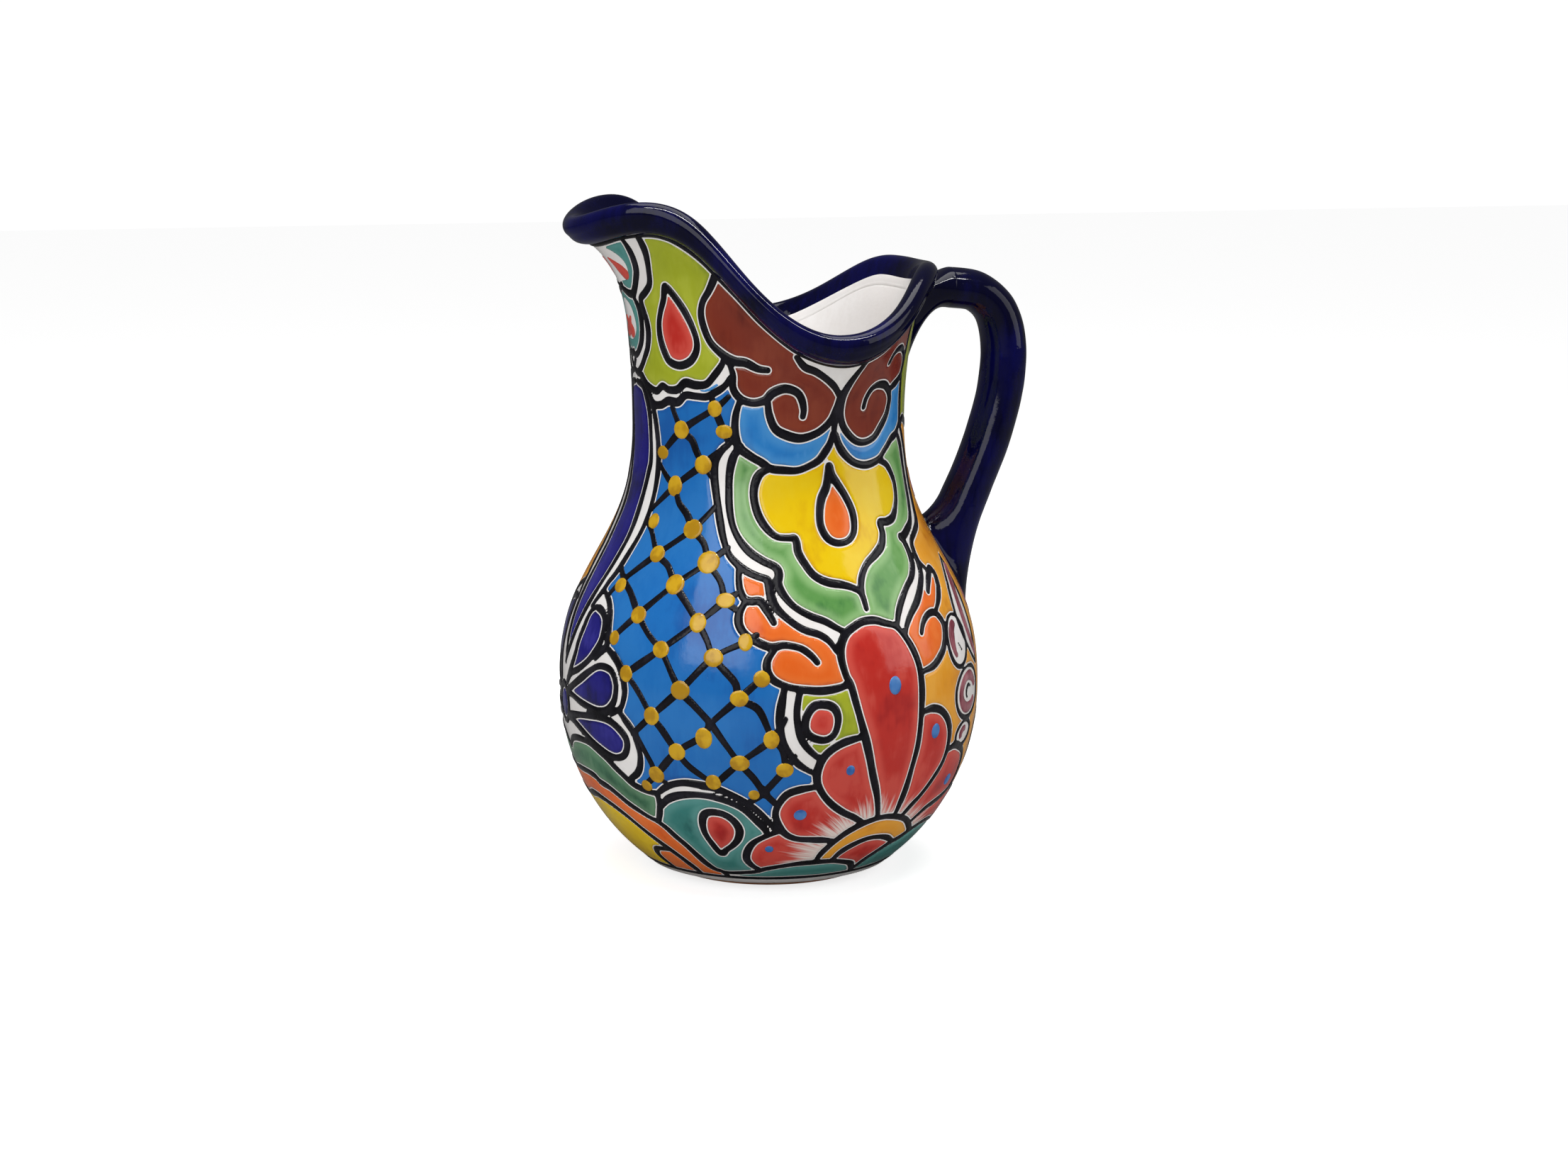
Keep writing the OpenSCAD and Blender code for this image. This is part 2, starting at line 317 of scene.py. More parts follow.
SIDE_LINES = [
    # scallops under the shoulder panel
    [(10, 185), (13, 182.5), (16, 181), (21, 180), (25, 182), (29, 181), (34, 181.5), (38, 184),
     (43, 183.5), (48, 184), (51.5, 187), (55, 191), (56, 193.5)],
    [(15.6, 178.7), (19, 175.3), (24, 175.3), (28.5, 177), (34, 177), (38, 179.6), (43, 179.6),
     (48, 179.6), (51.5, 181), (56, 183.5), (58.4, 186.5)],
    # shoulder leaf and its volute
    [(56, 229), (53, 222), (50, 217), (47, 213), (46, 209), (47, 204.5), (50, 199), (55, 195),
     (60, 192.6), (65, 192), (70, 190), (74, 189.5)],
    [(58, 192), (59.7, 188), (59.7, 183.5), (61.4, 180.6), (64.4, 178.7), (68.6, 178), (73, 179),
     (76, 181.5), (80.6, 183), (85, 182), (87.4, 179.6), (88.6, 175.6), (88.3, 173)],
    [(74, 179), (74.6, 174), (77, 169), (81.5, 166.6), (87.4, 165.4), (93.6, 166.7), (98, 169),
     (101, 172), (102.5, 176), (103, 180)],
    [(85, 194), (88, 190.7), (92, 189), (96.7, 186), (100.4, 183), (102.8, 180)],
    [(103.2, 181), (103.2, 176), (102.4, 171), (102, 165)],
    # scroll toward the handle
    [(113, 196), (110, 190.7), (106.5, 184.4), (104.7, 180), (104.4, 176), (105, 172), (107, 168),
     (111, 164.3), (115, 162.6), (119.5, 162.6), (124, 164), (128, 167), (132, 170.6), (133.7, 174),
     (134, 177), (132.5, 179.6), (129.4, 181.7), (125.7, 182.5), (122, 182.4), (119, 181), (117, 178),
     (116.4, 175)],
    [(132.5, 179.6), (135.6, 181), (140, 182.4), (143.6, 184.4), (145, 187), (146.5, 193), (147, 200),
     (146, 207), (145, 213)],
    [(128, 190), (130, 192.8), (133, 194.3), (137, 194.7), (140.5, 194), (143.6, 192), (145.4, 188.6)],
    # blue crescents
    [(62.8, 179), (61, 174), (60.5, 169), (61, 165), (62.6, 162), (67.5, 159), (71.7, 157), (75, 155),
     (80, 154.4), (86, 154.2), (91.5, 155.8), (95.3, 157.6), (98, 160.3), (100.2, 163), (101.5, 166.5)],
    [(103, 166), (104.5, 162), (107.5, 158.5), (111.7, 155.7), (117, 154.4), (122, 154.7), (126.5, 155.8),
     (130, 158), (133.5, 160), (137, 162), (141.7, 163.3), (145.4, 166.4)],
    [(145, 184), (146, 176), (146.7, 170.6), (147, 166), (152, 168), (160, 166), (170, 163), (181, 162)],
    # border of the side ornament
    [(60.5, 166), (57.5, 163), (55, 161), (52.3, 157), (52, 152), (53, 147), (54.5, 141.4), (56, 136.5),
     (58, 131), (60.6, 126), (64, 122.8), (67.5, 120.5), (71, 119), (73.8, 118), (74.4, 116), (75, 112.7),
     (76.5, 109), (80, 105), (84, 101.7), (88.3, 99.8), (91, 97.4), (92.8, 94)],
    [(63, 162.7), (60, 159), (58.5, 153.3), (58.5, 147), (59.2, 141), (61, 135.3), (64, 130.6),
     (68, 126.7), (72.4, 124), (76.5, 122), (77.6, 119.7), (77.2, 116.6), (79, 112.7), (82, 109),
     (86.3, 106), (90.4, 104), (93.5, 101.7), (96, 100)],
    [(113, 100), (114.7, 104), (117.5, 108), (121.7, 112), (126, 115), (129.3, 119), (130.3, 123),
     (130, 126.7), (129, 128), (131.4, 128.3), (135.6, 130), (140, 132), (144, 136), (147, 141),
     (148.5, 147), (148.5, 153), (147, 159), (143, 163.5)],
    [(115.4, 97), (116.8, 100), (119.6, 103.3), (124, 107), (128, 111), (131.4, 115), (133, 119),
     (133.5, 123), (135, 126), (140, 128.3), (146, 131), (150, 136), (152.5, 141), (154.5, 147),
     (155, 152), (154, 157), (151, 162), (147, 166)],
    # crest
    [(74.8, 155), (71, 153.3), (69, 150), (68.5, 145.5), (70, 140), (73, 135.3), (77, 132), (81.4, 131.4),
     (83.5, 131.4), (84.2, 129.8), (84.5, 126.7), (86.3, 123), (89, 119), (93, 116.6), (98, 115.4),
     (101.5, 114), (103.6, 112), (104, 107)],
    [(127, 155), (131.4, 153.3), (134.5, 150), (136, 146.3), (135, 141.6), (132, 137.7), (128.6, 135),
     (124.4, 134), (120.3, 134), (120, 130.6), (117.5, 126.7), (113.3, 124), (109, 121.6), (106, 118.5),
     (104.3, 115), (103.8, 111)],
    # leaves under the ornament
    [(64.4, 122.4), (64.7, 119), (65.4, 115), (66.8, 112), (69, 111), (71.7, 111), (73.8, 108),
     (75.8, 104)],
    [(67.2, 110.3), (65.8, 107), (66, 103.3), (68, 100), (71.7, 97.4), (75, 96), (78.6, 96.6),
     (82.8, 95.5), (85.6, 93), (87.3, 90.4)],
    [(75.8, 95), (74, 91.6), (74, 87.7), (75.8, 84.5), (79.3, 82.4), (82.8, 81.4), (87.6, 80.6), (92, 81),
     (96, 82.3)],
    [(121.7, 96.3), (123.4, 99.4), (126.5, 101.7), (130, 102), (132, 100), (133, 97), (132, 93),
     (130, 89), (127, 86), (124, 84), (119.5, 83)],
    [(131, 109), (133.5, 112), (137, 115), (139, 115.8), (140, 113.4), (138.3, 109.5), (135, 105.6),
     (131.4, 102.5)],
    [(136.5, 115), (135, 117), (133.5, 119)],
    # the long petal
    [(108.8, 30.6), (106.4, 39), (103.6, 48), (101.5, 57), (99.4, 66.6), (97.4, 76), (96.2, 82),
     (95, 85.3), (94, 91), (94.2, 95.5), (96, 99.4), (99, 101.7), (102, 103), (105.7, 103), (109, 101.7),
     (112.6, 100), (115.4, 95.5), (117.5, 90), (118.7, 84), (119, 76), (118.5, 66.6), (118, 57),
     (117, 48), (116.5, 39), (115.8, 30)],
    # the petals round it
    [(99.4, 63), (94, 61.5), (89.7, 58), (87.6, 53.3), (87.3, 48), (89, 43), (92, 38.4), (96, 34.5),
     (100, 31.8), (103.6, 29)],
    [(87.3, 45.5), (82.8, 44.7), (79.3, 43), (77, 39), (76.2, 35), (77.2, 30.6), (79.3, 26.7),
     (82.8, 24.4), (87.6, 23.6), (92, 23), (96, 22)],
    [(78, 28), (73.8, 26), (69.6, 23), (67.2, 19), (66.5, 15), (68, 12), (70.6, 10)],
    [(119, 68.5), (123, 69), (127, 67.3), (130.3, 63.4), (132, 59), (132.4, 53.3), (131.4, 47),
     (128.6, 41.6), (125, 36), (121.7, 32), (119.6, 28.7)],
    [(132.5, 51), (137, 51.7), (141, 50), (145, 47), (147.5, 42), (148, 37), (146, 33), (142, 31),
     (137, 29.8), (131.4, 28.3), (127, 25)],
    [(146, 33), (152, 31.5), (155, 27), (154, 22.5), (151, 19.5)],
    # the fan's heart and the line under it
    [(91.5, 13.4), (92.8, 17.3), (96, 22), (100, 26), (105, 28.7), (110.6, 29.8), (116, 29),
     (121.7, 26.7), (125.8, 23.6), (130, 19.7)],
    [(98, 13), (100, 16.6), (103.6, 19.3), (108, 21), (112.6, 21), (117.5, 19.7), (122.4, 17)],
    [(55.4, 7.7), (59, 7.6), (63.3, 8), (69, 8.8), (73, 10.3), (79.3, 11.7), (85, 12.6), (91, 12.8),
     (98, 12.5), (103.6, 11.3), (108, 9.7), (111.3, 6)],
    [(111.6, 6), (114, 10.3), (117.5, 13.4), (121.7, 16.2), (126, 17.7), (130, 19.7), (135, 21),
     (140, 21.3), (147, 20), (154, 19), (162, 20), (171, 21), (181, 21)],
    # the small patch
    [(78.4, 82), (77.4, 74.4), (77.2, 69), (77.9, 63.4), (79.6, 58.6), (82.3, 54.3), (86, 51)],
    [(82.4, 81), (81.6, 74.4), (81.8, 69), (82.8, 63.6), (85, 59.4), (87.8, 56)],
    # the low panel and the bands
    [(41.2, 40), (44.3, 43), (47.4, 45), (51, 46), (55, 45.8), (59.2, 45), (63.3, 43), (67.5, 40),
     (71, 36.5), (73.8, 32.6), (76.2, 28.7)],
    [(41.5, 35), (44.3, 38.3), (47.4, 40.3), (51, 41.4), (55.4, 41.8), (59.2, 41.2), (63.3, 39.6),
     (67, 37), (70.3, 33), (73, 29), (73.8, 27)],
    [(0, 48.5), (3.6, 52), (7.3, 53.5), (11.6, 54.2), (16, 54), (20, 52.5), (24, 50.4), (27, 47.6),
     (30, 45), (33, 42.4), (36.3, 41), (39.4, 40.3), (41.2, 40), (41.2, 36), (40.3, 32.4), (38.5, 28.2)],
    [(0, 40.5), (5.4, 41), (10.4, 41.2), (14.7, 40.6), (17, 39), (21, 38), (24.6, 36), (28.3, 33.4),
     (32, 31.3), (35, 29.6), (38, 28.2), (40.6, 26), (43, 22.6), (45.6, 19.2), (48, 15), (50, 11.5),
     (52.3, 9), (55.4, 7.7), (57, 4.6)],
    [(0, 30.5), (3.6, 31), (7.3, 32), (11, 32), (14.7, 31.3), (19, 30), (23.3, 27.8), (27, 25),
     (30.7, 21.6), (34, 18.5), (37, 15.7), (39.4, 13), (41.2, 10.5), (43, 7.5), (44, 5)],
    [(37, 15.6), (33.2, 15.3), (30, 14.7), (28, 13), (27.3, 11), (28.3, 8), (30, 5)],
]
SIDE_LOOPS = [
    [(28.5, 217), (27.6, 213), (25.5, 208.5), (24.2, 204), (24.6, 199), (27, 194), (30, 191), (35.3, 190),
     (40.4, 191.6), (43.4, 195), (43.8, 199), (41.7, 204), (38, 209.4), (33.6, 214), (30, 217)],
    [(99.4, 155), (98, 148.6), (95.3, 144), (94, 139), (94, 134.5), (96, 130.6), (99.4, 129),
     (103.6, 129.5), (106.7, 132), (108, 136), (107.8, 140), (105.7, 144.7), (103, 148.6), (100.5, 152)],
    [(86.3, 75.5), (84.2, 72), (83.8, 67.3), (85.6, 64.2), (89, 63), (91.5, 65), (92.5, 69.7),
     (91.8, 73.6), (89.7, 75.5)],
    [(57.8, 17), (55.4, 22), (54.2, 26), (54.2, 30.3), (55.4, 34), (58, 35.2), (61.3, 34.5), (64, 32),
     (65.4, 28.3), (64.7, 24.4), (62.6, 21.3), (60, 19)],
]
# The chain of scrolls toward the handle, from the top: turn and height of the middle, then half width
# and half height.
SCROLL_LEAF = (139, 90, 6, 9.5)
SCROLL_ROUND = (144, 70, 9, 9.5)
SCROLL_BUD = (142, 55, 5.5, 4.5)
# The long leaf behind them hangs between two points, and its edges bow toward the front by so many degrees.
LONG_LEAF_TOP = (155, 118)
LONG_LEAF_FOOT = (154, 78)
LONG_LEAF_BOWS = (12, 1)
# The amber ground beside the front fan on the far side carries a plum vine: a stem, and spiral curls on it.
VINE_STEM = [(-60, 47), (-50, 60), (-46, 72), (-50, 86), (-52, 97), (-43, 108), (-37, 120),
             (-38, 134), (-34, 146), (-27, 156), (-28, 167), (-36, 175)]
# Each curl: turn and height of its middle, its size, the angle it starts at and the way it winds.
VINE_CURLS = [(-57, 62, 8, 0, 1), (-60, 90, 9, 0, 1), (-35, 100, 9, 180, -1), (-46, 139, 8, 0, 1),
              (-20.5, 149, 6.5, 150, -1)]
BACK_CURLS = [(167, 142, 7, 180, -1), (168, 98, 7, 180, -1)]
BACK_LOOPS = [
    [(173, 26), (171, 34), (170, 44), (171, 55), (174, 64), (180, 69), (186, 64), (189, 55), (190, 44),
     (189, 34), (187, 26), (180, 24)],
    [(170, 29), (164, 32), (158, 39), (155, 48), (157, 56), (162, 59), (166, 55), (168, 46), (169, 37)],
]
LATTICE = [
    [(25.5, 158.4), (36, 167), (52, 175.6), (58, 180)],
    [(23, 138), (34, 147.3), (47, 155.6), (56, 162)],
    [(18, 108), (22.5, 114), (33.4, 124), (45.6, 133.4), (54, 142)],
    [(25, 93), (34, 104), (44, 115), (54, 123), (60, 128)],
    [(32, 82), (44, 93.3), (54, 103.3), (61.4, 111), (65, 113.5)],
    [(36, 62), (42.3, 69.7), (50.7, 80), (59.5, 92), (68, 97.6), (71, 100)],
    [(37, 42), (42.5, 48), (49.6, 57.7), (57.3, 64.5), (59.2, 69), (66.7, 78.3), (73, 86)],
    [(59.4, 46), (66.7, 55), (75, 63.8), (78.5, 71)],
    [(69, 40), (73, 44), (78.5, 52.5), (81, 57.5)],
    [(31, 175), (36, 167.3), (41.3, 164), (43.7, 160), (47, 155.6), (51, 151.5)],
    [(50.5, 180), (52, 175.6), (56, 167.6), (58, 163.5)],
    [(23, 155), (29.5, 149.7), (34, 147.3), (37, 142), (42, 138), (45.6, 133.4), (51, 129), (54, 123),
     (59, 117), (61.4, 111), (65, 108)],
    [(22, 134.6), (27, 131), (33.4, 124), (39.4, 120.6), (44, 115), (49.3, 109.4), (54, 103.3),
     (57.3, 97.6), (59.5, 92), (65.4, 84), (66.7, 78.3), (71.7, 74.4), (75, 65), (78, 59.5),
     (78.5, 52.5)],
    [(18, 118), (22.5, 114), (28.3, 110), (34, 103.7), (39.4, 97.6), (44, 93.3), (46.2, 89.3), (50.7, 80),
     (55, 74.7), (59.2, 69), (62.6, 62.7), (66.7, 55), (70.3, 49.4), (73, 44), (76.5, 39)],
    [(28, 89), (33.4, 83.3), (38, 77.5), (42.3, 69.7), (45.6, 65), (49.6, 57.7), (53, 52.5), (59.1, 47)],
    [(33, 67), (37.5, 60.8), (41.2, 52.5), (42.5, 47.8), (46, 44.5)],
]
# Mustard dabs where the lattice crosses: turn, height, radius.
LATTICE_DABS = [
    (52, 175.6, 2.2), (36, 167.3, 2.6), (56, 167.6, 2.3), (25.5, 158.4, 2.2), (47, 155.6, 2.7),
    (34, 147.3, 2.8),
    (26.5, 134.4, 2.4), (45.6, 133.4, 3.4), (33.4, 124, 2.9), (54, 123, 3.3), (44, 115, 2.8),
    (22.2, 112, 2.3),
    (61.4, 111, 2.6), (34, 103.7, 2.8), (54, 103.3, 2.7), (68, 97.6, 2.3), (27, 94.7, 2.2), (44, 93.3, 2.8),
    (59.5, 92, 2.8), (72.5, 85.2, 2.2), (33.4, 83.3, 2.2), (50.7, 80, 2.8), (66.7, 78.3, 2.7),
    (42.3, 69.7, 2.8),
    (57.3, 63.6, 2.8), (75, 63.8, 2.5), (49.6, 57.7, 2.7), (66.7, 55, 2.7), (78.5, 52.5, 2.3),
    (42.5, 48, 2.4),
    (59.3, 47.3, 2.2), (38.5, 43, 1.9), (70.3, 43, 1.8),
]
# Blue dabs on the petals: turn, height, half width, half height.
PETAL_DABS = [
    (109.5, 80, 2.7, 3.4), (96.5, 51, 1.7, 2.0), (83.3, 34.7, 2.4, 2.4), (74.4, 20.2, 1.6, 1.8),
    (124.7, 60.3, 2.4, 2.9), (138.7, 38, 2.5, 2.4), (180, 52, 2.6, 3.2), (162, 50, 2.0, 2.4),
]
FAN_HEART = [(-4.5, 65), (-3, 70), (0, 72), (3, 70), (4.5, 65), (3, 60), (0, 58), (-3, 60)]
BLUE_TOUCHES = [[(45, 181.6), (49, 182), (53, 184)]]
RED_DABS = [
    [(4, 226), (6.5, 223.5), (9, 221)],
    [(-3, 205), (0, 202), (3, 200)],
]
# Where each colour is flooded in: turn and height.
FLOODS = {
    "teal": [(13.5, 226), (9.5, 203), (48, 30), (68, 7.5), (90, 9), (125, 13)],
    "chartreuse": [(35, 225), (22, 200), (96, 72), (90, 78), (95, 64.5), (87.5, 60), (160, 190)],
    "red": [(34, 200), (60, 28), (88.2, 69.3), (107, 70), (93, 50), (84, 34), (75, 18), (125, 50), (138, 44),
            (142, 26), (108, 16), (180, 40), (162, 45)],
    "brown": [(58, 205), (112, 178), (138, 200)],
    "crescent_blue": [(68, 170), (125, 158.5), (140, 172)],
    "yellow": [(85, 145), (22, 20)],
    "orange": [(99.5, 138), (70, 115), (72, 104), (80, 88), (126, 94), (128, 106), (30, 28), (34, 11)],
    "green": [(64, 145), (128, 125), (142, 150)],
    "sea_green": [(20, 46)],
    "amber": [(110, 25.5), (125, 76), (137, 107), (162, 88), (170, 120), (150, 46)],
}
FAN_GROUND = [(5, 130), (15, 92), (22, 75), (24, 59)]
VINE_GROUND = [(-25, 118), (-20, 166), (-45, 155), (-58, 52), (-40, 125), (-33, 82), (-48, 115)]
LATTICE_GROUND = [(40, 125), (30, 100), (60, 52)]


def oval(turn, height, wide, tall, begin=90, sweep=360):
    """An oval stroke, or the part of one that starts at an angle and sweeps on from it."""
    angle = np.radians(begin + sweep * np.linspace(0, 1, 15))
    return list(zip(turn + wide * np.cos(angle), height + tall * np.sin(angle)))


def bow(start, end, bulge):
    """A stroke between two points that bows toward the front by a number of degrees."""
    share = np.linspace(0, 1, 9)
    turn = start[0] + (end[0] - start[0]) * share - 4 * bulge * share * (1 - share)
    return list(zip(turn, start[1] + (end[1] - start[1]) * share))


def scroll_outlines():
    """The thin black lines of the scroll chain and of the long leaf."""
    turn, height, wide, tall = SCROLL_LEAF
    outlines = [oval(*SCROLL_LEAF), oval(*SCROLL_ROUND), oval(*SCROLL_BUD)]
    outlines.append([(turn, height - 0.1 * tall), (turn + 0.3 * wide, height - 0.4 * tall)])
    turn, height, wide, tall = SCROLL_ROUND
    outlines.append(oval(turn, height, 0.22 * wide, 0.26 * tall, 40, 200))
    outlines += [bow(LONG_LEAF_TOP, LONG_LEAF_FOOT, bulge) for bulge in LONG_LEAF_BOWS]
    return outlines


def scroll_fillings():
    """The broad plum strokes inside them."""
    leaf = oval(SCROLL_LEAF[0], SCROLL_LEAF[1], 0.55 * SCROLL_LEAF[2], 0.66 * SCROLL_LEAF[3], 100, 130)
    spiral = oval(SCROLL_ROUND[0], SCROLL_ROUND[1], 0.62 * SCROLL_ROUND[2], 0.62 * SCROLL_ROUND[3], 20, 300)
    bud = oval(SCROLL_BUD[0], SCROLL_BUD[1], 0.4 * SCROLL_BUD[2], 0.35 * SCROLL_BUD[3], 80, 130)
    inset = 4
    rib = bow((LONG_LEAF_TOP[0], LONG_LEAF_TOP[1] - inset), (LONG_LEAF_FOOT[0], LONG_LEAF_FOOT[1] + inset),
              sum(LONG_LEAF_BOWS) / 2)
    return [leaf, spiral, bud, rib]


def curl(turn, height, size, begin, wind):
    """A spiral curl of a scroll, from its wide start to its eye."""
    share = np.linspace(0, 1, 16)
    angle = np.radians(begin + wind * 560 * share)
    reach = size * (1 - 0.84 * share)
    return list(zip(turn + reach * np.cos(angle) / 1.2, height + reach * np.sin(angle)))


def on_side(path, near):
    """A stroke as it lies on the near side, or mirrored onto the far side."""
    return path if near else mirrored(path, "side")


def lay_pattern():
    """The distance fields of the lines, and the colour that floods each point of the painting."""
    far = np.full(GRID.shape[:2], REACH)
    near_lines, far_lines, plum, bare, fine, red_dabs, touches = (far.copy() for _ in range(7))
    count = 0
    for how in ("front", "side"):
        paths = FRONT_LINES if how == "front" else SPOUT_LINES + SIDE_LINES
        loops = FRONT_LOOPS if how == "front" else SIDE_LOOPS + BACK_LOOPS
        for path in paths:
            for field, hand in ((near_lines, np.array(path, float)), (far_lines, mirrored(path, how))):
                count += 1
                lay_stroke(field, hand, LINE_W, ends=(0.75, 0.75), wobble=count)
        for path in loops:
            for field, hand in ((near_lines, np.array(path, float)), (far_lines, mirrored(path, how))):
                count += 1
                lay_stroke(field, hand, LINE_W, closed=True, wobble=count)
    for path in LATTICE:
        lay_stroke(fine, path, FINE_W, ends=(0.9, 0.8), wobble=path[0][0])
    lay_stroke(plum, VINE_STEM, VINE_W, ends=(0.5, 0.5), wobble=4)
    for shape in VINE_CURLS:
        lay_stroke(plum, curl(*shape), CURL_W, ends=(0.9, 0.7), wobble=shape[1])
    for near in (True, False):
        for path in SPOUT_WHITES:
            lay_stroke(bare, on_side(path, near), BARE_W, closed=True)
        for path in scroll_outlines():
            lay_stroke(near_lines if near else far_lines, on_side(path, near), THIN_W,
                       ends=(0.6, 0.6), wobble=path[0][1])
        for shape in BACK_CURLS:
            lay_stroke(plum, on_side(curl(*shape), near), CURL_W, ends=(0.9, 0.7), wobble=shape[1])
        for path in scroll_fillings():
            lay_stroke(plum, on_side(path, near), PLUM_W, ends=(0.7, 0.6), wobble=path[0][1])
        for path in BLUE_TOUCHES:
            lay_stroke(touches, on_side(path, near), TOUCH_W, ends=(0.4, 0.6))
        for path in RED_DABS:
            lay_stroke(red_dabs, on_side(path, near), DAB_W, ends=(0.35, 1.0))
    lay_stroke(near_lines, FAN_HEART, LINE_W, closed=True)
    round_pot = np.arange(-180, 181, 6)
    lay_stroke(far_lines, [(a, 5.2) for a in round_pot], FOOT_LINE_W, wobble=3)
    lay_stroke(far_lines, [(a, LIP_LEVEL - 0.6) for a in round_pot], LIP_LINE_W, wobble=5, levels=True)
    lines = np.minimum(near_lines, far_lines)
    room = np.minimum(np.minimum(lines - GAP, plum - GAP), bare)
    names = {}
    flood = np.zeros(room.shape, int)
    seeds = []
    for k, (name, spots) in enumerate(FLOODS.items()):
        names[name] = k + 1
        seeds += [(k + 1, s * a, z) for a, z in spots for s in (1, -1)]
    names["cobalt"] = len(names) + 1
    seeds += [(names["cobalt"], a, z) for a, z in FAN_GROUND]
    seeds += [(names["cobalt"], 2 * float(lean(z)) - a, z) for a, z in FAN_GROUND]
    seeds.append((names["cobalt"], 0, 65))
    names["lattice_blue"] = len(names) + 1
    seeds += [(names["lattice_blue"], a, z) for a, z in LATTICE_GROUND]
    seeds += [(names["amber"], a, z) for a, z in VINE_GROUND]
    open_cells = room > 0
    for colour, turn, height in seeds:
        level = level_at(np.array([float(turn)]), np.array([float(height)]))[0]
        i = min(int(np.searchsorted(LEVELS, level)), len(LEVELS) - 1)
        j = int(round((turn + 180) / 360 * COLUMNS)) % COLUMNS
        if not open_cells[i, j] or flood[i, j]:
            continue
        heap = [(i, j)]
        flood[i, j] = colour
        while heap:
            i, j = heap.pop()
            for a, b in ((i + 1, j), (i - 1, j), (i, (j + 1) % COLUMNS), (i, (j - 1) % COLUMNS)):
                if 0 <= a < len(LEVELS) and open_cells[a, b] and not flood[a, b]:
                    flood[a, b] = colour
                    heap.append((a, b))
    return near_lines, far_lines, plum, fine, red_dabs, touches, room, flood, names


# ---------- glaze laid as thin closed shells ----------


def cut_shell(value):
    """Turn, level, triangles and edge distance of the part of the painting where value is above 0."""
    rows, cols = value.shape
    ids = np.arange(rows * cols).reshape(rows, cols)
    a = ids[:-1]
    b = np.roll(ids, -1, 1)[:-1]
    c = np.roll(ids, -1, 1)[1:]
    d = ids[1:]
    tri = np.concatenate([np.stack([a, b, c], -1).reshape(-1, 3), np.stack([a, c, d], -1).reshape(-1, 3)])
    v = value.ravel()
    above = v[tri] > 0
    count = above.sum(1)
    keep = [tri[count == 3]]
    cuts = []
    one = tri[count == 1]
    k = above[count == 1].argmax(1)
    r = np.arange(len(one))
    p, q, s = one[r, k], one[r, (k + 1) % 3], one[r, (k + 2) % 3]
    n = rows * cols
    cuts.append(("one", p, q, s))
    two = tri[count == 2]
    k = (~above[count == 2]).argmax(1)
    r = np.arange(len(two))
    cuts.append(("two", two[r, k], two[r, (k + 1) % 3], two[r, (k + 2) % 3]))

    def key(x, y):
        return np.minimum(x, y).astype(np.int64) * n + np.maximum(x, y)

    faces = []
    for kind, x, y, z in cuts:
        xy = -1 - key(x, y)
        xz = -1 - key(x, z)
        if kind == "one":
            faces.append(np.stack([x, xy, xz], -1))
        else:
            faces.append(np.stack([xy, y, z], -1))
            faces.append(np.stack([xy, z, xz], -1))
    faces = np.concatenate([keep[0].astype(np.int64)] + faces)
    used, faces = np.unique(faces, return_inverse=True)
    faces = faces.reshape(-1, 3)
    whole = used >= 0
    lo = np.where(whole, used, (-1 - used) // n)
    hi = np.where(whole, used, (-1 - used) % n)
    turn, level = GRID_TURN.ravel(), GRID_LEVEL.ravel()
    span = v[lo] - v[hi]
    t = np.where(whole, 0, v[lo] / np.where(span == 0, 1, span))
    t = np.where(whole, 0, np.clip(t, 0.03, 0.97))
    step = (turn[hi] - turn[lo] + 180) % 360 - 180
    return turn[lo] + step * t, level[lo] + (level[hi] - level[lo]) * t, faces, np.where(whole, v[lo], 0.0)


def glaze_shell(name, value, top, pillow, low=SLIP_DEPTH - 0.01, fan=False):
    """A closed shell of glaze. It rises from its edge over the pillow width."""
    turn, level, faces, edge = cut_shell(value)
    rise = np.clip(edge / pillow, 0, 1)
    rise = rise * (2 - rise)
    over = pot_face(turn, level, low + (top - low) * rise)
    under = pot_face(turn, level, np.full(len(turn), SLIP_DEPTH - 0.3))
    n = len(turn)
    sides = np.concatenate([faces[:, [0, 1]], faces[:, [1, 2]], faces[:, [2, 0]]])
    forward = sides[:, 0] * n + sides[:, 1]
    back = sides[:, 1] * n + sides[:, 0]
    rim = sides[~np.isin(forward, back)]
    walls = np.stack([rim[:, 1], rim[:, 0], rim[:, 0] + n, rim[:, 1] + n], -1)
    heart = pot_face(np.array([110.0, -110.0]), np.array([12.0, 12.0]), 0.0)
    away = np.linalg.norm(over[:, None] - heart, axis=-1)
    near = away.argmin(1)
    around = np.degrees(np.arctan2(over[:, 2] - 12, (turn - np.array([110, -110])[near]) * 0.95))
    marks = {"edge": np.concatenate([edge] * 2)}
    if fan:
        marks["heart"] = np.concatenate([away.min(1)] * 2)
        marks["swing"] = np.concatenate([around] * 2)
    solid = [faces, faces[:, ::-1] + n, walls]
    return make_piece(name, np.concatenate([over, under]), solid, len(faces), marks)


# ---------- glaze finishes ----------


def add_node(tree, kind, place_at, **values):
    node = tree.nodes.new(kind)
    node.location = place_at
    for key, value in values.items():
        if hasattr(node, key):
            setattr(node, key, value)
        else:
            node.inputs[key].default_value = value
    return node


def new_group(name, inputs, outputs):
    tree = bpy.data.node_groups.new(name, "ShaderNodeTree")
    for label, kind, value in inputs:
        socket = tree.interface.new_socket(label, in_out="INPUT", socket_type=kind)
        socket.default_value = value
    for label, kind in outputs:
        tree.interface.new_socket(label, in_out="OUTPUT", socket_type=kind)
    return tree, add_node(tree, "NodeGroupInput", (-1200, 0)), add_node(tree, "NodeGroupOutput", (900, 0))


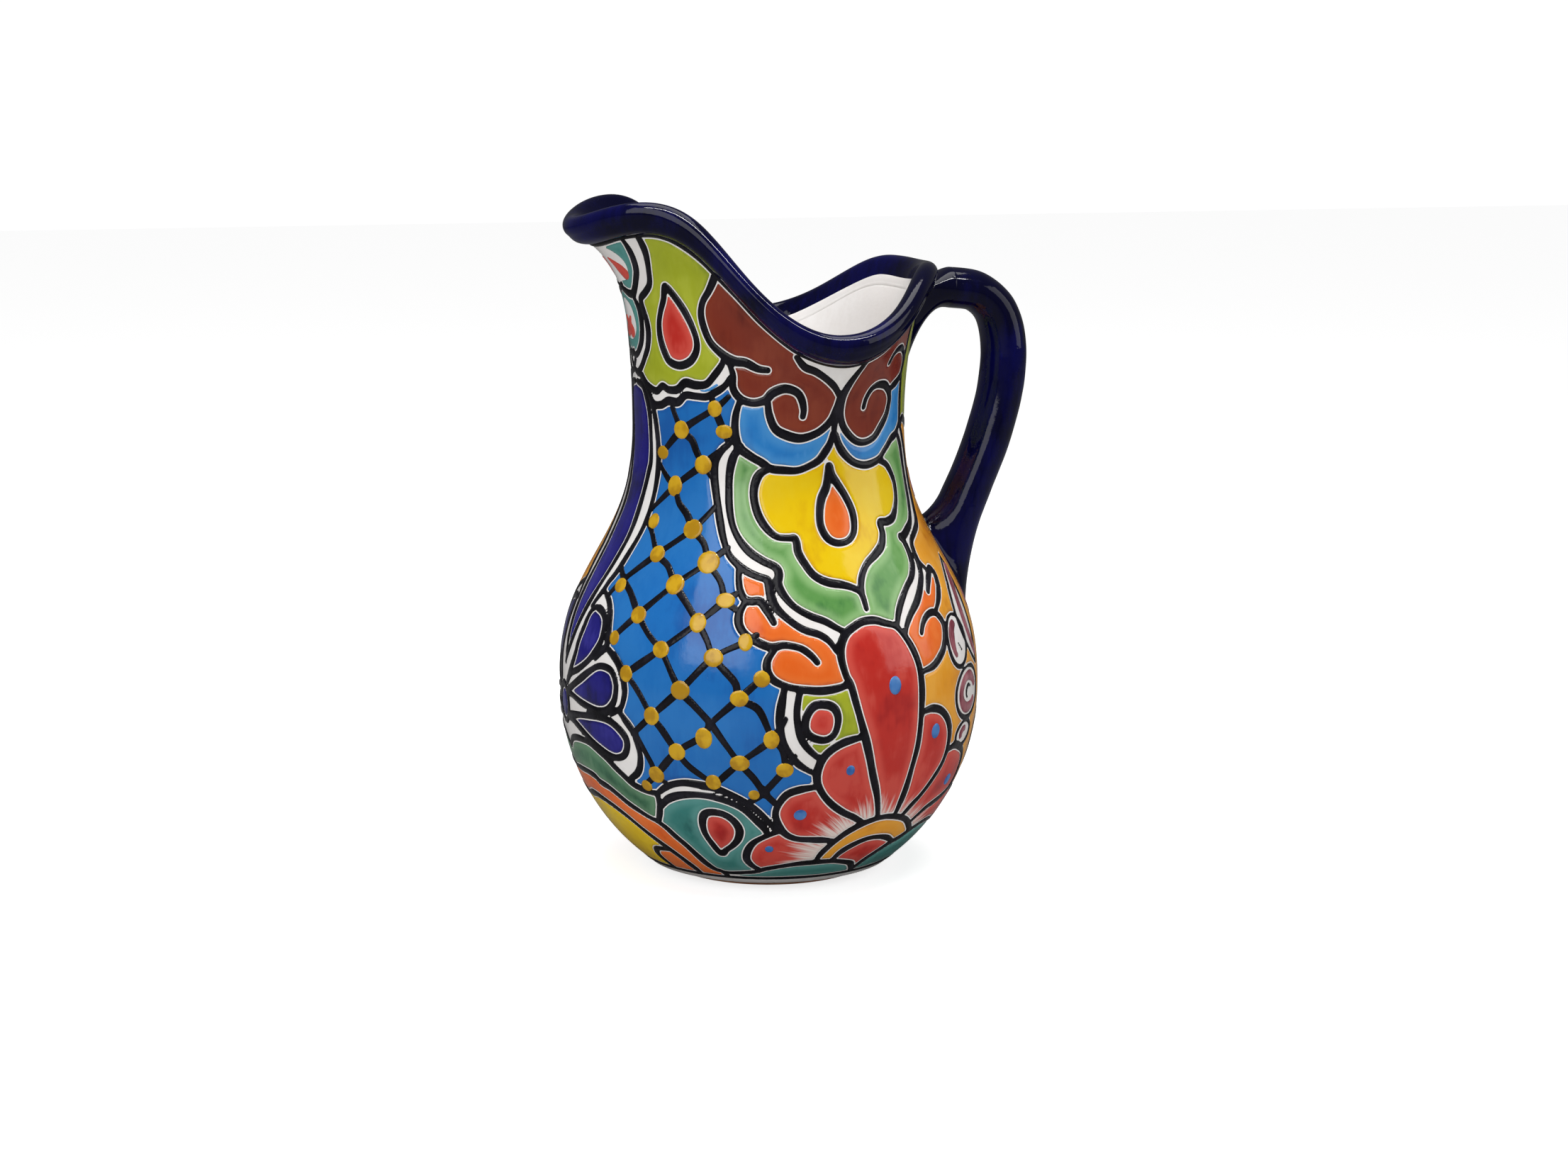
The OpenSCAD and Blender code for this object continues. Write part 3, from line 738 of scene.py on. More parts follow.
def ramp_between(tree, source, low, high, at, smooth=True):
    node = add_node(tree, "ShaderNodeMapRange", at)
    node.interpolation_type = "SMOOTHSTEP" if smooth else "LINEAR"
    node.inputs["From Min"].default_value = low
    node.inputs["From Max"].default_value = high
    tree.links.new(source, node.inputs["Value"])
    return node.outputs["Result"]


def blend_colours(tree, factor, first, second, at):
    node = add_node(tree, "ShaderNodeMix", at, data_type="RGBA")
    tree.links.new(factor, node.inputs[0])
    for source, socket in ((first, node.inputs[6]), (second, node.inputs[7])):
        if isinstance(source, tuple):
            socket.default_value = source
        else:
            tree.links.new(source, socket)
    return node.outputs[2]


def combine(tree, operation, first, second, at):
    node = add_node(tree, "ShaderNodeMath", at, operation=operation)
    for source, socket in ((first, node.inputs[0]), (second, node.inputs[1])):
        if isinstance(source, (int, float)):
            socket.default_value = source
        else:
            tree.links.new(source, socket)
    return node.outputs[0]


def noise(tree, vector, scale, detail, at, roughness=0.5):
    node = add_node(tree, "ShaderNodeTexNoise", at)
    node.inputs["Scale"].default_value = scale
    node.inputs["Detail"].default_value = detail
    node.inputs["Roughness"].default_value = roughness
    tree.links.new(vector, node.inputs["Vector"])
    return node.outputs["Fac"]


def brush_tone_group():
    """Hand-brushed colour: thin where the brush ran dry, deep where the glaze pooled by a line."""
    tree, given, out = new_group(
        "brushed tone",
        [("Thin", "NodeSocketColor", (1, 1, 1, 1)), ("Full", "NodeSocketColor", (1, 1, 1, 1)),
         ("Pooled", "NodeSocketColor", (1, 1, 1, 1)), ("Thinness", "NodeSocketFloat", 0.5),
         ("Edge Thin", "NodeSocketFloat", 0.0),
         ("Patch Scale", "NodeSocketFloat", 60.0)],
        [("Colour", "NodeSocketColor"), ("Depth", "NodeSocketFloat")],
    )
    spot = add_node(tree, "ShaderNodeTexCoord", (-1200, -300)).outputs["Object"]
    edge = add_node(tree, "ShaderNodeAttribute", (-1200, -600), attribute_name="edge").outputs["Fac"]
    patch = add_node(tree, "ShaderNodeTexNoise", (-900, 200), Detail=3.0)
    tree.links.new(spot, patch.inputs["Vector"])
    tree.links.new(given.outputs["Patch Scale"], patch.inputs["Scale"])
    stretch = add_node(tree, "ShaderNodeMapping", (-900, -200))
    stretch.inputs["Rotation"].default_value = (0.25, 0.2, 0.1)
    stretch.inputs["Scale"].default_value = (1.0, 1.0, 0.16)
    tree.links.new(spot, stretch.inputs["Vector"])
    bristle = noise(tree, stretch.outputs["Vector"], 420, 3, (-700, -200), 0.6)
    body = combine(tree, "MULTIPLY", patch.outputs["Fac"], 0.8, (-500, 100))
    hair = combine(tree, "MULTIPLY", bristle, 0.2, (-500, -100))
    depth = combine(tree, "ADD", body, hair, (-300, 0))
    pool = ramp_between(tree, edge, 1.6, 0.1, (-300, -300))
    pool = combine(tree, "MULTIPLY", pool, 0.10, (-100, -300))
    depth = combine(tree, "ADD", depth, pool, (0, 0))
    thin = ramp_between(tree, depth, 0.52, 0.36, (200, 100))
    thin = combine(tree, "MULTIPLY", thin, given.outputs["Thinness"], (350, 100))
    fringe = ramp_between(tree, combine(tree, "ADD", edge, combine(tree, "MULTIPLY", depth, 3.0, (0, -450)),
                                        (100, -450)), 6.0, 1.6, (200, -450))
    thin = combine(tree, "MAXIMUM", thin, combine(tree, "MULTIPLY", fringe, given.outputs["Edge Thin"],
                                                  (350, -450)), (450, 200))
    deep = ramp_between(tree, depth, 0.52, 0.68, (200, -100))
    tone = blend_colours(tree, deep, given.outputs["Full"], given.outputs["Pooled"], (450, -50))
    tone = blend_colours(tree, thin, tone, given.outputs["Thin"], (650, 0))
    tree.links.new(tone, out.inputs["Colour"])
    tree.links.new(depth, out.inputs["Depth"])
    return tree


def glaze_skin_group():
    """Fired glaze skin: slow ripple of the wall, fine orange peel and a few pinholes."""
    tree, given, out = new_group(
        "fired skin",
        [("Peel", "NodeSocketFloat", 0.3), ("Gloss Low", "NodeSocketFloat", 0.08),
         ("Gloss High", "NodeSocketFloat", 0.2)],
        [("Height", "NodeSocketFloat"), ("Roughness", "NodeSocketFloat"), ("Pinhole", "NodeSocketFloat")],
    )
    spot = add_node(tree, "ShaderNodeTexCoord", (-1200, -300)).outputs["Object"]
    ripple = noise(tree, spot, 38, 2, (-900, 200))
    peel = noise(tree, spot, 520, 2, (-900, 0))
    peel = combine(tree, "MULTIPLY", peel, given.outputs["Peel"], (-700, 0))
    slow = combine(tree, "MULTIPLY", ripple, 1.6, (-700, 200))
    holes = add_node(tree, "ShaderNodeTexVoronoi", (-900, -300))
    holes.inputs["Scale"].default_value = 120
    tree.links.new(spot, holes.inputs["Vector"])
    hole = ramp_between(tree, holes.outputs["Distance"], 0.075, 0.03, (-700, -300))
    height = combine(tree, "ADD", slow, peel, (-500, 100))
    dip = combine(tree, "MULTIPLY", hole, 0.25, (-500, -200))
    height = combine(tree, "SUBTRACT", height, dip, (-300, 0))
    worn = noise(tree, spot, 90, 4, (-900, -600))
    mix = add_node(tree, "ShaderNodeMix", (-500, -600), data_type="FLOAT")
    tree.links.new(ramp_between(tree, worn, 0.35, 0.7, (-700, -600)), mix.inputs[0])
    tree.links.new(given.outputs["Gloss Low"], mix.inputs[2])
    tree.links.new(given.outputs["Gloss High"], mix.inputs[3])
    tree.links.new(height, out.inputs["Height"])
    tree.links.new(mix.outputs[0], out.inputs["Roughness"])
    tree.links.new(hole, out.inputs["Pinhole"])
    return tree


BRUSHED = brush_tone_group()
FIRED = glaze_skin_group()


def shade(red, green, blue):
    """A screen colour, 0 to 255, as the light value that a shader takes."""
    shares = [c / 255 for c in (red, green, blue)]
    return tuple(((c + 0.055) / 1.055) ** 2.4 if c > 10 / 255 else c / 12.92 for c in shares) + (1,)


def group_node(tree, group, at):
    node = tree.nodes.new("ShaderNodeGroup")
    node.node_tree = group
    node.location = at
    return node


def glaze(name, thin, full, pooled, thinness=0.3, patch=60.0, gloss=(0.1, 0.2), peel=0.3, bump=0.2,
          coat=0.15, fringe=0.0, shine=0.42):
    """A fired glaze: its colour where it lies thin, full and pooled, and how it shines."""
    material = bpy.data.materials.new(name)
    material.use_nodes = True
    tree = material.node_tree
    shader = tree.nodes["Principled BSDF"]
    tone = group_node(tree, BRUSHED, (-700, 200))
    tone.inputs["Thin"].default_value = shade(*thin)
    tone.inputs["Full"].default_value = shade(*full)
    tone.inputs["Pooled"].default_value = shade(*pooled)
    tone.inputs["Thinness"].default_value = thinness
    tone.inputs["Patch Scale"].default_value = patch
    tone.inputs["Edge Thin"].default_value = fringe
    fired = group_node(tree, FIRED, (-700, -200))
    fired.inputs["Peel"].default_value = peel
    fired.inputs["Gloss Low"].default_value = gloss[0]
    fired.inputs["Gloss High"].default_value = gloss[1]
    relief = add_node(tree, "ShaderNodeBump", (-300, -200))
    relief.inputs["Strength"].default_value = bump
    relief.inputs["Distance"].default_value = 0.0008
    tree.links.new(fired.outputs["Height"], relief.inputs["Height"])
    tree.links.new(tone.outputs["Colour"], shader.inputs["Base Color"])
    tree.links.new(fired.outputs["Roughness"], shader.inputs["Roughness"])
    tree.links.new(relief.outputs["Normal"], shader.inputs["Normal"])
    shader.inputs["IOR"].default_value = 1.52
    shader.inputs["Specular IOR Level"].default_value = shine
    shader.inputs["Coat Weight"].default_value = coat
    shader.inputs["Coat Roughness"].default_value = 0.05
    return material


def petal_glaze():
    """The fan's red: it thins to bare white in brushed streaks toward the foot."""
    material = glaze("petal red", (222, 98, 84), (186, 44, 36), (160, 30, 28), 0.4, 60, fringe=0.55)
    tree = material.node_tree
    shader = tree.nodes["Principled BSDF"]
    colour = shader.inputs["Base Color"].links[0].from_socket
    heart = add_node(tree, "ShaderNodeAttribute", (-1400, 700), attribute_name="heart").outputs["Fac"]
    swing = add_node(tree, "ShaderNodeAttribute", (-1400, 500), attribute_name="swing").outputs["Fac"]
    fibres = add_node(tree, "ShaderNodeCombineXYZ", (-1200, 600))
    tree.links.new(combine(tree, "MULTIPLY", swing, 0.55, (-1300, 500)), fibres.inputs["X"])
    tree.links.new(combine(tree, "MULTIPLY", heart, 0.05, (-1300, 700)), fibres.inputs["Y"])
    hairs = noise(tree, fibres.outputs["Vector"], 1.0, 2, (-1000, 900), 0.6)
    sway = combine(tree, "MULTIPLY", hairs, 26, (-800, 900))
    height = combine(tree, "ADD", heart, sway, (-600, 700))
    fade = ramp_between(tree, height, 45, 34, (-400, 700))
    petals_only = ramp_between(tree, heart, 15, 17, (-400, 900))
    fade = combine(tree, "MULTIPLY", fade, petals_only, (-300, 700))
    mixed = blend_colours(tree, fade, colour, shade(228, 216, 208), (-150, 500))
    tree.links.new(mixed, shader.inputs["Base Color"])
    return material


def bare_clay():
    """Unglazed foot: buff red clay with grog, paler and darker in soft random clouds."""
    material = bpy.data.materials.new("bare clay")
    material.use_nodes = True
    tree = material.node_tree
    shader = tree.nodes["Principled BSDF"]
    spot = add_node(tree, "ShaderNodeTexCoord", (-1200, 0)).outputs["Object"]
    cloud = noise(tree, spot, 70, 4, (-900, 200))
    grit = noise(tree, spot, 900, 3, (-900, -100), 0.7)
    warm = blend_colours(tree, ramp_between(tree, cloud, 0.3, 0.7, (-700, 200)), shade(176, 116, 80),
                         shade(205, 150, 112), (-500, 200))
    speck = ramp_between(tree, grit, 0.62, 0.74, (-700, -100))
    mixed = blend_colours(tree, speck, warm, shade(120, 72, 50), (-300, 100))
    relief = add_node(tree, "ShaderNodeBump", (-300, -200))
    relief.inputs["Strength"].default_value = 0.5
    relief.inputs["Distance"].default_value = 0.0004
    tree.links.new(grit, relief.inputs["Height"])
    tree.links.new(mixed, shader.inputs["Base Color"])
    tree.links.new(ramp_between(tree, cloud, 0.2, 0.9, (-500, -300)), relief.inputs["Strength"])
    tree.links.new(relief.outputs["Normal"], shader.inputs["Normal"])
    rough = combine(tree, "ADD", combine(tree, "MULTIPLY", cloud, 0.3, (-500, -500)), 0.6, (-300, -500))
    tree.links.new(rough, shader.inputs["Roughness"])
    return material


WHITE = glaze("tin white", (222, 214, 210), (230, 226, 223), (236, 233, 231), 0.3, 22,
              (0.09, 0.2), 0.35, 0.25)
NAVY = glaze("rim navy", (20, 22, 150), (8, 8, 62), (3, 3, 30), 0.5, 26,
             (0.05, 0.1), 0.2, 0.25, 0.0, shine=0.3)
BLACK = glaze("line black", (44, 42, 50), (22, 21, 27), (12, 11, 16), 0.5, 90,
              (0.12, 0.28), 0.5, 0.3, 0.0, shine=0.25)
COLOURS = {
    "teal": glaze("brushed teal", (108, 166, 160), (52, 122, 116), (34, 96, 92), 0.3, 55, fringe=0.5),
    "chartreuse": glaze("brushed chartreuse", (188, 196, 70), (156, 166, 34), (128, 142, 26),
                        0.4, 55, fringe=0.2),
    "red": petal_glaze(),
    "brown": glaze("brushed brown", (150, 72, 48), (122, 46, 30), (94, 32, 24), 0.4, 48, fringe=0.2),
    "lattice_blue": glaze("brushed blue", (52, 128, 196), (28, 106, 180), (22, 88, 162), 0.3, 34),
    "crescent_blue": glaze("brushed light blue", (96, 166, 218), (40, 122, 194), (28, 98, 172),
                           0.4, 60, fringe=0.4),
    "yellow": glaze("brushed yellow", (236, 208, 50), (228, 190, 6), (214, 166, 6), 0.3, 55),
    "orange": glaze("brushed orange", (238, 138, 70), (224, 98, 28), (206, 78, 20), 0.4, 55, fringe=0.3),
    "green": glaze("brushed leaf green", (150, 190, 128), (92, 146, 76), (62, 116, 60),
                   0.3, 60, fringe=0.75),
    "sea_green": glaze("brushed sea green", (120, 158, 122), (64, 112, 82), (44, 88, 64),
                       0.4, 60, fringe=0.5),
    "amber": glaze("brushed amber", (238, 180, 80), (224, 150, 30), (204, 126, 20), 0.4, 50, fringe=0.3),
    "cobalt": glaze("brushed cobalt", (62, 58, 160), (28, 24, 116), (16, 13, 78), 0.4, 60, (0.06, 0.15)),
}
RED = glaze("drop red", (226, 120, 100), (196, 50, 44), (170, 32, 32), 0.3, 90, fringe=0.3)
PLUM = glaze("line plum", (186, 132, 140), (146, 82, 92), (112, 48, 60), 0.6, 90)
MUSTARD = glaze("dab mustard", (216, 178, 48), (202, 158, 28), (172, 128, 20), 0.5, 160)
DAB_BLUE = glaze("dab blue", (120, 164, 206), (70, 122, 186), (44, 92, 160), 0.5, 160)
CLAY = bare_clay()

# ---------- the pot, its lip, handle and joints ----------


def ride_on(piece, material):
    if material is not None:
        piece.data.materials.clear()
        piece.data.materials.append(material)
    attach(piece, "root")
    return piece


def thrown_body():
    turn = -np.arange(240) * 1.5
    rings = []

    def ring(reach, height):
        rings.append(place(turn, np.full(len(turn), float(reach)), float(height)))

    for reach in (12, 24, 34, 40):
        ring(reach, 2.0)
    for s in (0.35, 0.7):
        ring(40 + 8.1 * s, 2.0 + 3.0 * s * s * 0.9)
    for level in np.concatenate([np.linspace(5.0, 30, 22), np.linspace(31.5, NECK_Z, 74)[:-1],
                                 NECK_Z + 100 * np.linspace(0, 1, 44)]):
        rings.append(pot_face(turn, np.full(len(turn), level), SLIP_DEPTH))
    for level in NECK_Z + 100 * np.linspace(1, 0, 30):
        rings.append(pot_face(turn, np.full(len(turn), level), -WALL))
    for level in np.linspace(NECK_Z, 16, 52)[1:]:
        rings.append(pot_face(turn, np.full(len(turn), level), -WALL))
    for s in (0.3, 0.6, 0.85, 1.0):
        low = pot_face(turn[:1], np.array([16.0]), -WALL)[0]
        reach = AXIS_X - low[0]
        ring(reach - (reach - 38) * s, low[2] - (low[2] - 9) * math.sin(s * math.pi / 2))
    for reach in (28, 16, 6):
        ring(reach, 9.0)
    return skin("painted_body", np.array(rings), np.array([[AXIS_X, 0, 2.0], [AXIS_X, 0, 9.0]]))


def rolled_lip():
    """The thickened lip. Its glaze is a little uneven, and a thick lower edge sits proud of the slip."""
    turn = -np.arange(300) * 1.2
    start = lip_start(turn)
    height = wall_way(turn, start, 1.0)[2]
    rings = []
    ripple = 0.10 * np.sin(np.radians(turn * 7)) + 0.06 * np.sin(np.radians(turn * 19 + 40))
    shy = -0.12 + 0.5 * ripple * 0.6
    for s in np.linspace(0, 1, 11)[:-1]:
        rings.append(lip_face(turn, -2.5 - (1.5 + shy) * np.sin(np.pi / 2 * s), s * height))
    for a in np.linspace(180, 0, 21):
        r = LIP_R + shy
        rings.append(lip_face(turn, r * math.cos(math.radians(a)), height + r * math.sin(math.radians(a))))
    for s in np.linspace(1, 0, 12)[1:]:
        u = 2.5 + (1.5 + shy) * math.sin(math.pi / 2 * s) + (0.8 + 0.3 * ripple) * math.sin(math.pi * s)
        rings.append(lip_face(turn, u - 0.05, s * height))
    return skin("rolled_lip", np.array(rings))


def inner_wash():
    """The white glaze that laps up over the lower inner side of the lip, away from the spout."""
    turn = -np.arange(300) * 1.2
    height = wall_way(turn, lip_start(turn), 1.0)[2]
    side = np.abs((turn + 180) % 360 - 180)
    lap = np.clip((side - 55) / 50, 0, 1)
    lap = lap * lap * (3 - 2 * lap)
    top = 0.42 + 0.05 * np.sin(np.radians(3 * turn)) + 0.03 * np.sin(np.radians(11 * turn + 50))
    rings = []
    for s, proud in [(k / 10, 1.0) for k in range(11)] + [(k / 10, -1.0) for k in range(10, -1, -1)]:
        v = s * (top + 0.16) - 0.16
        risen = lap * min(s * 5, 1.0) * math.sqrt(1 - (s * 0.98) ** 2)
        deep = 0.3 - 0.5 * risen if proud > 0 else 0.6
        swell = 1.38 * np.sin(np.pi / 2 * np.maximum(v, 0))
        rings.append(lip_face(turn, -2.5 - swell + deep - 0.08, v * height))
    return skin("inner_wash", np.array(rings))


STRAP_PATH = [(69, 213), (80, 211), (88, 203.5), (91.2, 190), (89.5, 172), (83.5, 152), (75.5, 133)]
STRAP_W = 22.0
STRAP_T = 17.0
STRAP_SIDES = 64


def strap_at(s):
    k = max(0, min(int(s), len(STRAP_PATH) - 2))
    t = s - k
    q = [np.array(STRAP_PATH[min(max(k + d, 0), len(STRAP_PATH) - 1)], float) for d in (-1, 0, 1, 2)]
    return (2 * q[1] + (q[2] - q[0]) * t + (2 * q[0] - 5 * q[1] + 4 * q[2] - q[3]) * t**2
            + (3 * q[1] - q[0] - 3 * q[2] + q[3]) * t**3) / 2


def strap_way(s):
    d = strap_at(min(s + 0.05, len(STRAP_PATH) - 1)) - strap_at(max(s - 0.05, 0))
    return d / np.linalg.norm(d)


def strap_half(s):
    return (15 + 2 * min(s / 3, 1)) / 2


def strap_ring(s, sides):
    """A ring of the strap. Its angle starts at the outer side of the bend."""
    c, w = strap_at(s), strap_way(s)
    a = np.radians(np.arange(sides) * 360 / sides)
    r = strap_half(s) * np.cos(a)
    across = STRAP_W / STRAP_T * strap_half(s) * np.sin(a)
    return np.stack([AXIS_X + c[0] - w[1] * r, across, c[1] + w[0] * r], -1)


def clay_joint(name, strap, tucked, way, patch, turn):
    """A smooth swelling of clay from a ring of the strap to a patch on the pot, its start tucked inside."""
    n = len(strap)
    centre = patch(np.zeros(1), 0.0)[0]
    start = (tucked[0] + tucked[n // 2]) / 2
    order = (turn * np.arange(n)) % n
    angle = turn * np.arange(n) * 360 / n
    first = strap[order]
    last = patch(angle, 1.0)
    reach = np.linalg.norm(last - first, axis=1)[:, None]
    out = last - centre
    out = out / np.linalg.norm(out, axis=1)[:, None] * reach * 0.5
    rings = [start + 0.96 * (tucked[order] - start)]
    for s in np.linspace(0, 1, 25):
        rings.append((2 * s**3 - 3 * s**2 + 1) * first + (s**3 - 2 * s**2 + s) * way * reach
                     + (3 * s**2 - 2 * s**3) * last + (s**3 - s**2) * out)
    for grow in (0.66, 0.33):
        rings.append(patch(angle, grow))
    return skin(name, np.array(rings), np.array([start, centre]))


def top_patch(angle, grow):
    a = np.radians(angle)
    half_turn = math.degrees(math.asin(13 / 58))
    return outside_face(180 + half_turn * np.sin(a) * grow, 1.05 + 0.85 * np.cos(a) * grow, -0.25)


def bottom_patch(angle, grow):
    a = np.radians(angle)
    z = 106 - 22 * np.cos(a) * grow
    y = 14 * np.sin(a) * grow
    return np.stack([AXIS_X + np.sqrt((pot_reach(z) - 0.25) ** 2 - y**2), y, z], -1)


# ---------- geometry trees: swept strap, turned foot, dabs of glaze ----------


def new_tree(name, inputs):
    tree = bpy.data.node_groups.new(name, "GeometryNodeTree")
    tree.interface.new_socket("Geometry", in_out="INPUT", socket_type="NodeSocketGeometry")
    for label, kind in inputs:
        tree.interface.new_socket(label, in_out="INPUT", socket_type=kind)
    tree.interface.new_socket("Geometry", in_out="OUTPUT", socket_type="NodeSocketGeometry")
    return tree, add_node(tree, "NodeGroupInput", (-900, 0)), add_node(tree, "NodeGroupOutput", (1200, 0))


def finish_tree(tree, given, out, geometry):
    smooth = add_node(tree, "GeometryNodeSetShadeSmooth", (700, 0))
    real = add_node(tree, "GeometryNodeRealizeInstances", (850, 0))
    paint = add_node(tree, "GeometryNodeSetMaterial", (1000, 0))
    tree.links.new(geometry, smooth.inputs["Geometry"])
    tree.links.new(smooth.outputs["Geometry"], real.inputs["Geometry"])
    tree.links.new(real.outputs["Geometry"], paint.inputs["Geometry"])
    tree.links.new(given.outputs["Glaze"], paint.inputs["Material"])
    tree.links.new(paint.outputs["Geometry"], out.inputs["Geometry"])


def swept_strap_tree():
    """Sweeps an oval section along the strap's path, with a slight pulled ripple."""
    tree, given, out = new_tree("swept strap", [
        ("Width", "NodeSocketFloat"), ("Thickness", "NodeSocketFloat"), ("Sides", "NodeSocketInt"),
        ("Ripple", "NodeSocketFloat"), ("Glaze", "NodeSocketMaterial")])
    path = add_node(tree, "GeometryNodeMeshToCurve", (-900, 200))
    tree.links.new(given.outputs["Geometry"], path.inputs["Mesh"])
    girth = add_node(tree, "GeometryNodeInputNamedAttribute", (-900, 400), data_type="FLOAT")
    girth.inputs["Name"].default_value = "girth"
    filled = add_node(tree, "GeometryNodeSetCurveRadius", (-700, 300))
    tree.links.new(path.outputs["Curve"], filled.inputs["Curve"])
    tree.links.new(girth.outputs["Attribute"], filled.inputs["Radius"])
    along = add_node(tree, "GeometryNodeSplineParameter", (-700, 500))
    marked = add_node(tree, "GeometryNodeStoreNamedAttribute", (-500, 300), data_type="FLOAT",
                      domain="POINT")
    marked.inputs["Name"].default_value = "share"
    tree.links.new(filled.outputs["Curve"], marked.inputs["Geometry"])
    tree.links.new(along.outputs["Factor"], marked.inputs["Value"])
    oval = add_node(tree, "GeometryNodeCurvePrimitiveCircle", (-700, -100))
    oval.inputs["Radius"].default_value = 0.5
    tree.links.new(given.outputs["Sides"], oval.inputs["Resolution"])
    size = add_node(tree, "ShaderNodeCombineXYZ", (-500, -300))
    tree.links.new(given.outputs["Width"], size.inputs["X"])
    tree.links.new(given.outputs["Thickness"], size.inputs["Y"])
    size.inputs["Z"].default_value = 1
    shaped = add_node(tree, "GeometryNodeTransform", (-300, -100))
    tree.links.new(oval.outputs["Curve"], shaped.inputs["Geometry"])
    tree.links.new(size.outputs["Vector"], shaped.inputs["Scale"])
    sweep = add_node(tree, "GeometryNodeCurveToMesh", (-100, 100))
    sweep.inputs["Fill Caps"].default_value = True
    tree.links.new(marked.outputs["Geometry"], sweep.inputs["Curve"])
    if "Scale" in sweep.inputs:
        tree.links.new(girth.outputs["Attribute"], sweep.inputs["Scale"])
    tree.links.new(shaped.outputs["Geometry"], sweep.inputs["Profile Curve"])
    wave = add_node(tree, "ShaderNodeTexNoise", (-100, -300))
    wave.inputs["Scale"].default_value = 70
    wave.inputs["Detail"].default_value = 1
    sunk = add_node(tree, "ShaderNodeMath", (100, -300), operation="MULTIPLY")
    tree.links.new(wave.outputs["Fac"], sunk.inputs[0])
    tree.links.new(given.outputs["Ripple"], sunk.inputs[1])
    share = add_node(tree, "GeometryNodeInputNamedAttribute", (-300, -600), data_type="FLOAT")
    share.inputs["Name"].default_value = "share"
    rest = combine(tree, "SUBTRACT", 1.0, share.outputs["Attribute"], (-150, -600))
    middle = combine(tree, "MULTIPLY", share.outputs["Attribute"], rest, (0, -600))
    middle = combine(tree, "MINIMUM", combine(tree, "MULTIPLY", middle, 12.0, (100, -600)), 1.0, (200, -600))
    faded = combine(tree, "MULTIPLY", sunk.outputs[0], middle, (300, -500))
    way = add_node(tree, "GeometryNodeInputNormal", (100, -450))
    inward = add_node(tree, "ShaderNodeVectorMath", (300, -300), operation="SCALE")
    tree.links.new(way.outputs["Normal"], inward.inputs[0])
    tree.links.new(faded, inward.inputs["Scale"])
    moved = add_node(tree, "GeometryNodeSetPosition", (450, 100))
    tree.links.new(sweep.outputs["Mesh"], moved.inputs["Geometry"])
    tree.links.new(inward.outputs["Vector"], moved.inputs["Offset"])
    finish_tree(tree, given, out, moved.outputs["Geometry"])
    return tree


def turned_foot_tree():
    """Turns a rounded section into the foot ring."""
    tree, given, out = new_tree("turned foot", [
        ("Middle Radius", "NodeSocketFloat"), ("Tread", "NodeSocketFloat"), ("Height", "NodeSocketFloat"),
        ("Rounding", "NodeSocketFloat"), ("Glaze", "NodeSocketMaterial")])
    round_path = add_node(tree, "GeometryNodeCurvePrimitiveCircle", (-600, 200))
    round_path.inputs["Resolution"].default_value = 180
    tree.links.new(given.outputs["Middle Radius"], round_path.inputs["Radius"])
    section = add_node(tree, "GeometryNodeCurvePrimitiveQuadrilateral", (-600, -100))
    tree.links.new(given.outputs["Tread"], section.inputs["Width"])
    tree.links.new(given.outputs["Height"], section.inputs["Height"])
    soft = add_node(tree, "GeometryNodeFilletCurve", (-350, -100))
    if hasattr(soft, "mode"):
        soft.mode = "POLY"
    soft.inputs["Count"].default_value = 4
    tree.links.new(section.outputs["Curve"], soft.inputs["Curve"])
    tree.links.new(given.outputs["Rounding"], soft.inputs["Radius"])
    sweep = add_node(tree, "GeometryNodeCurveToMesh", (-100, 100))
    tree.links.new(round_path.outputs["Curve"], sweep.inputs["Curve"])
    tree.links.new(soft.outputs["Curve"], sweep.inputs["Profile Curve"])
    lift = add_node(tree, "ShaderNodeMath", (0, -300), operation="MULTIPLY")
    tree.links.new(given.outputs["Height"], lift.inputs[0])
    lift.inputs[1].default_value = 0.5
    spot = add_node(tree, "ShaderNodeCombineXYZ", (150, -300))
    spot.inputs["X"].default_value = AXIS_X * 0.001
    tree.links.new(lift.outputs[0], spot.inputs["Z"])
    moved = add_node(tree, "GeometryNodeTransform", (350, 100))
    tree.links.new(sweep.outputs["Mesh"], moved.inputs["Geometry"])
    tree.links.new(spot.outputs["Vector"], moved.inputs["Translation"])
    finish_tree(tree, given, out, moved.outputs["Geometry"])
    return tree


